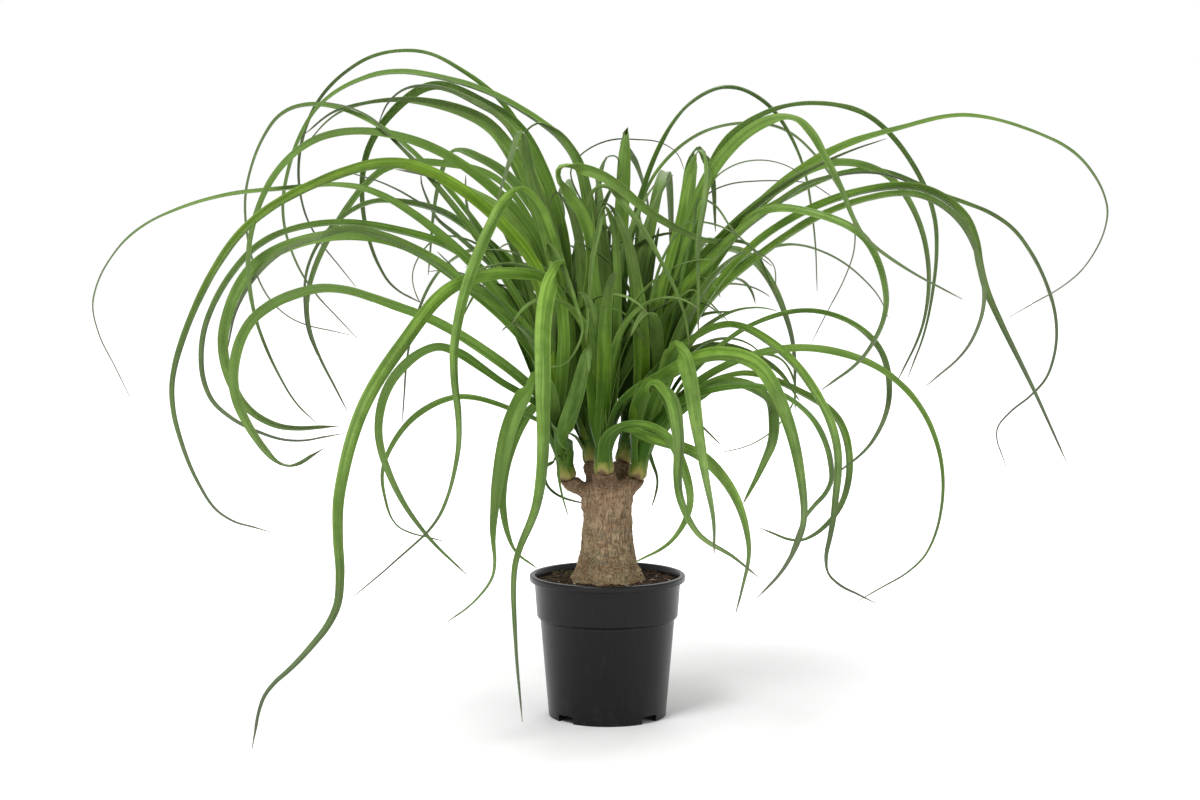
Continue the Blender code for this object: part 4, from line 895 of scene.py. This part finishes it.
# ---------------------------------------------------------------------------
# Further leaves.
# Blades and threads that stand between the CAD leaves: broad ones in the middle of the crown,
# arching ones at its sides and the finest curling ends. Way-points are in metres, as are widths.
# ---------------------------------------------------------------------------
FURTHER = [  # name, shoot, width, facing, lightness and yellowness, way from the shoot to the tip
    ("centre_pale", "left", 0.015, (85, 80, 60), (0.95, 0.1), [
        (-0.0275, -0.02, 0.315), (-0.0375, -0.03, 0.3625), (-0.05, -0.035, 0.41),
        (-0.0625, -0.045, 0.45), (-0.07, -0.055, 0.485), (-0.0775, -0.07, 0.4625),
        (-0.0875, -0.08, 0.43)]),
    ("centre_arch", "front", 0.014, (75, 70, 60), (0.35, 0.55), [
        (-0.0025, -0.01, 0.3225), (-0.005, -0.005, 0.38), (-0.015, 0, 0.425), (-0.0275, 0, 0.4675),
        (-0.045, 0, 0.4875), (-0.0575, 0, 0.4925), (-0.0675, 0, 0.485), (-0.075, 0.005, 0.4575)]),
    ("bright_arch_left", "left", 0.012, (75, 60, 30), (0.6, 0.6), [
        (-0.0375, 0, 0.33), (-0.055, 0, 0.4125), (-0.075, 0, 0.465), (-0.1, 0.005, 0.495),
        (-0.13, 0.01, 0.5075), (-0.1625, 0.015, 0.5125), (-0.1975, 0.02, 0.51),
        (-0.2275, 0.03, 0.5025), (-0.255, 0.04, 0.4825)]),
    ("pale_arch_left", "back_left", 0.01, (75, 55, 35), (0.7, 0.3), [
        (-0.035, 0, 0.34), (-0.045, -0.01, 0.405), (-0.0625, -0.015, 0.455), (-0.0825, -0.02, 0.4925),
        (-0.1125, -0.02, 0.5125), (-0.145, -0.02, 0.5225), (-0.165, -0.015, 0.52),
        (-0.18, -0.01, 0.5075), (-0.1875, -0.01, 0.49)]),
    ("long_cross_left", "left", 0.007, (60, 60, 40), (0.5, 0.4), [
        (-0.065, -0.01, 0.3325), (-0.0925, -0.02, 0.38), (-0.125, -0.02, 0.425),
        (-0.1575, -0.02, 0.4625), (-0.175, -0.02, 0.48), (-0.19, -0.02, 0.495), (-0.21, -0.01, 0.505),
        (-0.2325, 0, 0.51)]),
    ("dark_band_left", "back_left", 0.009, (60, 45, 25), (0.1, 0.1), [
        (-0.065, 0.03, 0.345), (-0.09, 0.035, 0.385), (-0.115, 0.04, 0.405), (-0.14, 0.045, 0.42),
        (-0.17, 0.05, 0.4275), (-0.2, 0.055, 0.4275), (-0.2275, 0.06, 0.4125), (-0.245, 0.06, 0.3925),
        (-0.255, 0.06, 0.37), (-0.2575, 0.06, 0.3425), (-0.255, 0.06, 0.3175), (-0.2475, 0.06, 0.2975)]),
    ("low_band_left", "left", 0.009, (60, 60, 50), (0.45, 0.2), [
        (-0.0625, -0.02, 0.32), (-0.09, -0.025, 0.3475), (-0.115, -0.03, 0.3625),
        (-0.1375, -0.03, 0.38), (-0.16, -0.03, 0.3925), (-0.185, -0.03, 0.4025),
        (-0.21, -0.03, 0.4075), (-0.2375, -0.03, 0.4), (-0.2625, -0.03, 0.39), (-0.285, -0.03, 0.37),
        (-0.3025, -0.03, 0.34), (-0.31, -0.03, 0.3075)]),
    ("thin_dark_left", "back_left", 0.005, (40, 30, 30), (0.0, 0.0), [
        (-0.0725, 0.03, 0.355), (-0.1075, 0.03, 0.4025), (-0.1325, 0.03, 0.4175),
        (-0.1525, 0.035, 0.425), (-0.175, 0.04, 0.4375), (-0.1925, 0.045, 0.445), (-0.21, 0.05, 0.45),
        (-0.2275, 0.055, 0.455)]),
    ("short_tip_left", "back_left", 0.006, (50, 60, 70), (0.3, 0.2), [
        (-0.085, 0.02, 0.3625), (-0.105, 0.02, 0.3975), (-0.115, 0.02, 0.4175),
        (-0.1175, 0.02, 0.4325), (-0.1175, 0.02, 0.45)]),
    ("short_dark_left", "back_left", 0.006, (50, 60, 70), (0.0, 0.0), [
        (-0.09, 0.04, 0.3675), (-0.1275, 0.05, 0.4), (-0.145, 0.055, 0.415), (-0.1525, 0.06, 0.43),
        (-0.1575, 0.06, 0.445), (-0.1575, 0.06, 0.4525)]),
    ("thread_left", "back_left", 0.003, (60, 40, 40), (0.2, 0.0), [
        (-0.075, 0.05, 0.3525), (-0.1175, 0.06, 0.395), (-0.1425, 0.07, 0.3975), (-0.16, 0.08, 0.3825),
        (-0.1675, 0.085, 0.365), (-0.165, 0.09, 0.3475), (-0.16, 0.09, 0.3375)]),
    ("thin_under_left", "back_left", 0.004, (40, 40, 40), (0.1, 0.0), [
        (-0.075, 0.05, 0.335), (-0.1, 0.06, 0.3525), (-0.1225, 0.07, 0.3625), (-0.135, 0.07, 0.375),
        (-0.145, 0.07, 0.385)]),
    ("short_front_left", "left", 0.006, (60, 60, 60), (0.3, 0.1), [
        (-0.0725, 0, 0.34), (-0.09, 0, 0.36), (-0.1025, 0, 0.36), (-0.1125, 0, 0.3475),
        (-0.12, 0, 0.3325)]),
    ("dark_column_left", "left", 0.014, (80, 80, 80), (0.05, 0.3), [
        (-0.045, -0.015, 0.2575), (-0.05, -0.015, 0.3), (-0.05, -0.01, 0.34), (-0.045, 0, 0.385),
        (-0.0375, 0.01, 0.4175), (-0.04, 0.03, 0.4375)]),
    ("yellow_left", "left", 0.013, (80, 80, 60), (0.5, 1.0), [
        (-0.0425, -0.02, 0.2825), (-0.0475, -0.02, 0.3325), (-0.0575, -0.02, 0.3725),
        (-0.07, -0.02, 0.4025), (-0.0875, -0.02, 0.4225), (-0.1125, -0.02, 0.4375),
        (-0.145, -0.02, 0.45), (-0.1725, -0.02, 0.455)]),
    ("heart_blade_left", "front", 0.013, (85, 85, 80), (0.45, 0.6), [
        (-0.01, -0.03, 0.2675), (-0.015, -0.03, 0.3175), (-0.02, -0.02, 0.365), (-0.025, -0.02, 0.405),
        (-0.035, -0.02, 0.43), (-0.0425, -0.02, 0.4375), (-0.0475, -0.02, 0.425)]),
    ("heart_blade_mid", "front", 0.015, (88, 88, 85), (0.25, 0.8), [
        (-0.0025, -0.025, 0.2675), (0, -0.02, 0.315), (-0.0025, -0.01, 0.365), (-0.005, 0, 0.4125),
        (-0.0075, 0.01, 0.4425), (-0.0125, 0.02, 0.4575)]),
    ("heart_blade_right", "right", 0.013, (85, 85, 80), (0.5, 0.7), [
        (0.0275, -0.02, 0.2675), (0.0275, -0.03, 0.3175), (0.0225, -0.035, 0.365),
        (0.0125, -0.04, 0.4075), (0.0025, -0.04, 0.425), (-0.005, -0.04, 0.43), (-0.01, -0.035, 0.4175)]),
    ("heart_back_right", "back_right", 0.013, (80, 85, 80), (0.05, 0.4), [
        (0.0175, 0.02, 0.27), (0.02, 0.02, 0.3225), (0.0275, 0.02, 0.3725), (0.035, 0.025, 0.4125),
        (0.045, 0.03, 0.4375), (0.055, 0.04, 0.45)]),
    ("heart_fold_back", "back_right", 0.008, (80, 80, 80), (0.4, 0.3), [
        (0.0125, 0.02, 0.28), (0.0025, 0.02, 0.3475), (-0.005, 0.02, 0.405), (-0.0075, 0.02, 0.44),
        (0, 0.02, 0.465), (0.0075, 0.03, 0.465), (0.0125, 0.04, 0.445)]),
    ("thin_fall_centre", "front", 0.007, (80, 60, 60), (0.9, 0.3), [
        (0.0075, -0.03, 0.3175), (0.0075, -0.035, 0.375), (0.0025, -0.04, 0.4175),
        (-0.0025, -0.05, 0.425), (-0.0075, -0.06, 0.405), (-0.0125, -0.065, 0.3825),
        (-0.015, -0.07, 0.35), (-0.0175, -0.075, 0.3175)]),
    ("curl_centre", "left", 0.006, (80, 60, 50), (0.8, 0.5), [
        (-0.0325, -0.025, 0.3075), (-0.0425, -0.035, 0.3575), (-0.0475, -0.04, 0.395),
        (-0.0425, -0.055, 0.39), (-0.0325, -0.065, 0.37), (-0.025, -0.07, 0.3475),
        (-0.02, -0.075, 0.3275), (-0.025, -0.075, 0.3125), (-0.035, -0.07, 0.3),
        (-0.0525, -0.065, 0.2975)]),
    ("cross_down_right", "front", 0.007, (70, 60, 60), (0.7, 0.2), [
        (-0.005, -0.03, 0.325), (-0.0125, -0.035, 0.3975), (-0.0125, -0.04, 0.4375),
        (-0.0025, -0.05, 0.4425), (0.015, -0.055, 0.425), (0.03, -0.06, 0.405),
        (0.0425, -0.065, 0.3825), (0.055, -0.07, 0.3575), (0.0625, -0.07, 0.335), (0.065, -0.07, 0.315)]),
    ("upright_right_fall", "right", 0.008, (70, 60, 70), (0.7, 0.4), [
        (0.0425, -0.02, 0.3475), (0.06, -0.02, 0.4175), (0.0675, -0.02, 0.455), (0.075, -0.03, 0.47),
        (0.08, -0.045, 0.455), (0.0775, -0.05, 0.43), (0.0725, -0.055, 0.3975), (0.0725, -0.06, 0.36),
        (0.0725, -0.06, 0.3225)]),
    ("dark_low_right", "right", 0.012, (80, 70, 40), (0.0, 0.4), [
        (0.0125, 0, 0.2575), (0.02, 0.005, 0.285), (0.04, 0.01, 0.3075), (0.0625, 0.01, 0.325),
        (0.08, 0.01, 0.335), (0.105, 0.01, 0.3375)]),
    ("flat_low_right", "right", 0.011, (80, 75, 60), (0.3, 0.5), [
        (0.035, 0, 0.265), (0.0525, 0.01, 0.29), (0.0725, 0.01, 0.305), (0.095, 0.01, 0.3075),
        (0.1175, 0.01, 0.3025), (0.1425, 0.01, 0.2875), (0.16, 0.01, 0.2625)]),
    ("olive_fold_right", "right", 0.012, (88, 80, 50), (0.3, 0.9), [
        (0.0225, -0.03, 0.25), (0.0275, -0.04, 0.2725), (0.0325, -0.05, 0.285), (0.04, -0.06, 0.2825),
        (0.0475, -0.065, 0.27), (0.0525, -0.07, 0.2475), (0.055, -0.07, 0.2225)]),
    ("band_right", "right", 0.01, (75, 60, 30), (0.55, 0.5), [
        (0.055, -0.02, 0.3475), (0.08, -0.02, 0.3775), (0.1075, -0.02, 0.405), (0.1375, -0.02, 0.4275),
        (0.16, -0.02, 0.4425), (0.185, -0.02, 0.45), (0.2125, -0.02, 0.4525), (0.2375, -0.02, 0.4475),
        (0.2575, -0.02, 0.4375)]),
    ("low_band_right", "right", 0.009, (60, 45, 40), (0.15, 0.2), [
        (0.0525, 0.01, 0.3125), (0.0775, 0.015, 0.3475), (0.105, 0.02, 0.37), (0.135, 0.02, 0.39),
        (0.165, 0.02, 0.4125), (0.1925, 0.02, 0.425), (0.2175, 0.02, 0.4325)]),
    ("wide_band_right", "back_right", 0.012, (80, 50, 20), (0.5, 0.6), [
        (0.05, -0.01, 0.34), (0.075, -0.01, 0.38), (0.1075, -0.01, 0.4125), (0.1375, -0.01, 0.4375),
        (0.165, -0.01, 0.455), (0.1975, -0.01, 0.47), (0.2275, -0.01, 0.48)]),
    ("thread_arc_top", "back_left", 0.0035, (30, 20, 20), (0.0, 0.0), [
        (-0.005, 0.03, 0.345), (-0.015, 0.04, 0.4125), (-0.03, 0.05, 0.4575), (-0.015, 0.06, 0.4725),
        (0.005, 0.065, 0.48), (0.025, 0.07, 0.48), (0.045, 0.07, 0.4775), (0.06, 0.07, 0.4675),
        (0.065, 0.07, 0.455)]),
    ("thread_arc_right", "right", 0.004, (30, 20, 20), (0.1, 0.0), [
        (0.055, 0, 0.3475), (0.0675, -0.005, 0.405), (0.08, -0.01, 0.4375), (0.09, -0.01, 0.45),
        (0.1075, -0.01, 0.46), (0.1275, -0.01, 0.4625), (0.1475, -0.01, 0.4575), (0.16, -0.01, 0.45)]),
    ("thread_low_arc", "back_right", 0.003, (30, 20, 20), (0.1, 0.0), [
        (0.0575, 0.03, 0.345), (0.07, 0.035, 0.4075), (0.085, 0.04, 0.435), (0.1025, 0.045, 0.4425),
        (0.125, 0.05, 0.445), (0.15, 0.055, 0.445), (0.1725, 0.06, 0.4425), (0.1925, 0.06, 0.43)]),
    ("thread_down_right", "right", 0.004, (40, 30, 30), (0.1, 0.0), [
        (0.06, -0.03, 0.365), (0.07, -0.035, 0.41), (0.075, -0.04, 0.4325), (0.085, -0.04, 0.4275),
        (0.1, -0.045, 0.4075), (0.115, -0.05, 0.3925), (0.1325, -0.05, 0.38), (0.135, -0.05, 0.3525)]),
    ("thread_side_right", "right", 0.004, (40, 30, 30), (0.3, 0.1), [
        (0.035, -0.03, 0.35), (0.0525, -0.035, 0.3975), (0.065, -0.035, 0.4125),
        (0.0775, -0.035, 0.4125), (0.095, -0.04, 0.4075), (0.11, -0.04, 0.3975),
        (0.1225, -0.045, 0.385), (0.1325, -0.045, 0.3775)]),
    ("short_down_right", "right", 0.005, (50, 40, 40), (0.2, 0.1), [
        (0.0425, -0.02, 0.325), (0.06, -0.03, 0.3525), (0.0675, -0.03, 0.3575), (0.08, -0.03, 0.35),
        (0.09, -0.03, 0.34), (0.0975, -0.03, 0.3325)]),
    ("hang_tail_right", "right", 0.004, (40, 40, 30), (0.2, 0.0), [
        (0.0675, 0, 0.29), (0.11, 0.01, 0.3025), (0.1475, 0.02, 0.295), (0.1575, 0.02, 0.27),
        (0.145, 0.025, 0.2425), (0.1175, 0.03, 0.2225), (0.0975, 0.03, 0.2175)]),
    ("short_low_right", "right", 0.004, (50, 50, 40), (0.2, 0.0), [
        (0.045, 0.01, 0.255), (0.0625, 0.015, 0.2625), (0.075, 0.02, 0.245), (0.085, 0.02, 0.235),
        (0.095, 0.02, 0.225)]),
    ("curl_below_right", "right", 0.005, (50, 40, 40), (0.2, 0.1), [
        (0.0325, 0.02, 0.225), (0.0375, 0.03, 0.21), (0.0425, 0.035, 0.1925), (0.04, 0.035, 0.1775),
        (0.0375, 0.035, 0.17)]),
    ("curl_below_left", "left", 0.004, (50, 40, 40), (0.2, 0.1), [
        (-0.0425, 0, 0.2175), (-0.0525, 0.01, 0.205), (-0.05, 0.02, 0.19), (-0.04, 0.03, 0.18),
        (-0.0275, 0.035, 0.175), (-0.015, 0.035, 0.1725)]),
    ("drop_below_left", "left", 0.003, (50, 40, 40), (0.2, 0.1), [
        (-0.04, -0.02, 0.22), (-0.04, -0.03, 0.205), (-0.0375, -0.03, 0.19), (-0.0325, -0.03, 0.1725)]),
]


def placed_course(foot, axis, width, way, height):
    """Rows like leaf_course's for a leaf that follows its way-points from a height on its shoot."""
    first = Vector(way[0]) - foot
    outward = (first - axis * first.dot(axis)).normalized()
    start = foot + axis * height + outward * 0.003
    rise = start + axis * 0.3 * (Vector(way[0]) - start).length + outward * 0.004
    points = np.array([start, rise] + [Vector(spot) for spot in way])
    stations = np.concatenate([[0.0], np.cumsum(np.linalg.norm(np.diff(points, axis=0), axis=1))])
    wanted = np.linspace(0.0, stations[-1], 4 * len(points))
    centres = along(stations, points, wanted)
    ahead = unit(np.gradient(centres, axis=0))
    across = np.array(axis.cross(outward))
    share = wanted / wanted[-1]
    rows = []
    for spot, forward, s in zip(centres, ahead, share):
        across = across - forward * across.dot(forward)
        across = across / np.linalg.norm(across)
        swelling = min(1.0, 0.55 + 3.0 * s)
        taper = max(0.0, (s - 0.45) / 0.55) ** 1.4
        half = 0.5 * (width * swelling * (1 - taper) + 0.001 * taper)
        rows.append((*spot, half, *across, *np.cross(across, forward)))
    return np.array(rows)


for number, (name, shoot, width, facing, tone, way) in enumerate(FURTHER):
    foot, axis = shoot_lines["shoot_" + shoot]
    course = placed_course(foot, axis, width, way, 0.012 + 0.003 * (number % 5))
    course = faced(course, *facing)
    build_leaf("further_" + name, course, min(0.0055, 0.6 * width), 0.006, tone, 300 + number)


# ---------------------------------------------------------------------------
# Inner leaves.
# The heart of each shoot: steep, broad young blades that fill the middle of the crown, each
# rising along its shoot, leaning out and arching over.
# ---------------------------------------------------------------------------
def arching_course(foot, axis, bearing, length, lean, fall, width):
    """Rows like leaf_course's for a blade that leans out and then falls over, angles in degrees."""
    across = axis.orthogonal().normalized()
    outward = across * math.cos(bearing) + axis.cross(across) * math.sin(bearing)
    side = axis.cross(outward)
    steps = 40
    spot = foot + axis * 0.008 + outward * 0.002
    rows = []
    for step in range(steps + 1):
        share = step / steps
        tilt = math.radians(lean * min(1.0, share / 0.3) + fall * max(0.0, share - 0.3) ** 1.6)
        ahead = axis * math.cos(tilt) + outward * math.sin(tilt)
        under = outward * math.cos(tilt) - axis * math.sin(tilt)
        swelling = min(1.0, 0.5 + share / 0.3)
        taper = min(1.0, max(0.0, (share - 0.45) / 0.55)) ** 1.5
        half = 0.5 * (width * swelling * (1 - taper) + 0.0012 * taper)
        rows.append((*spot, half, *side, *under))
        spot = spot + ahead * (length / steps)
    return np.array(rows)


INNER = {  # how many blades each shoot has
    "shoot_left": 9, "shoot_front": 12, "shoot_right": 10, "shoot_back_left": 7, "shoot_back_right": 8,
}
for shoot, count in INNER.items():
    foot, axis = shoot_lines[shoot]
    draw = random.Random(shoot)
    for number in range(count):
        bearing = math.radians(360.0 * (number + draw.uniform(-0.3, 0.3)) / count)
        length = draw.uniform(0.17, 0.26)
        lean = draw.uniform(3.0, 12.0)
        fall = draw.uniform(80.0, 260.0)
        width = draw.uniform(0.009, 0.014)
        course = arching_course(foot, axis, bearing, length, lean, fall, width)
        tone = (draw.uniform(0.0, 0.85), draw.uniform(0.1, 0.9))
        name = f"{shoot.replace('shoot', 'heart')}_{number:02d}"
        build_leaf(name, course, 0.007, 0.007, tone, 200 + number)
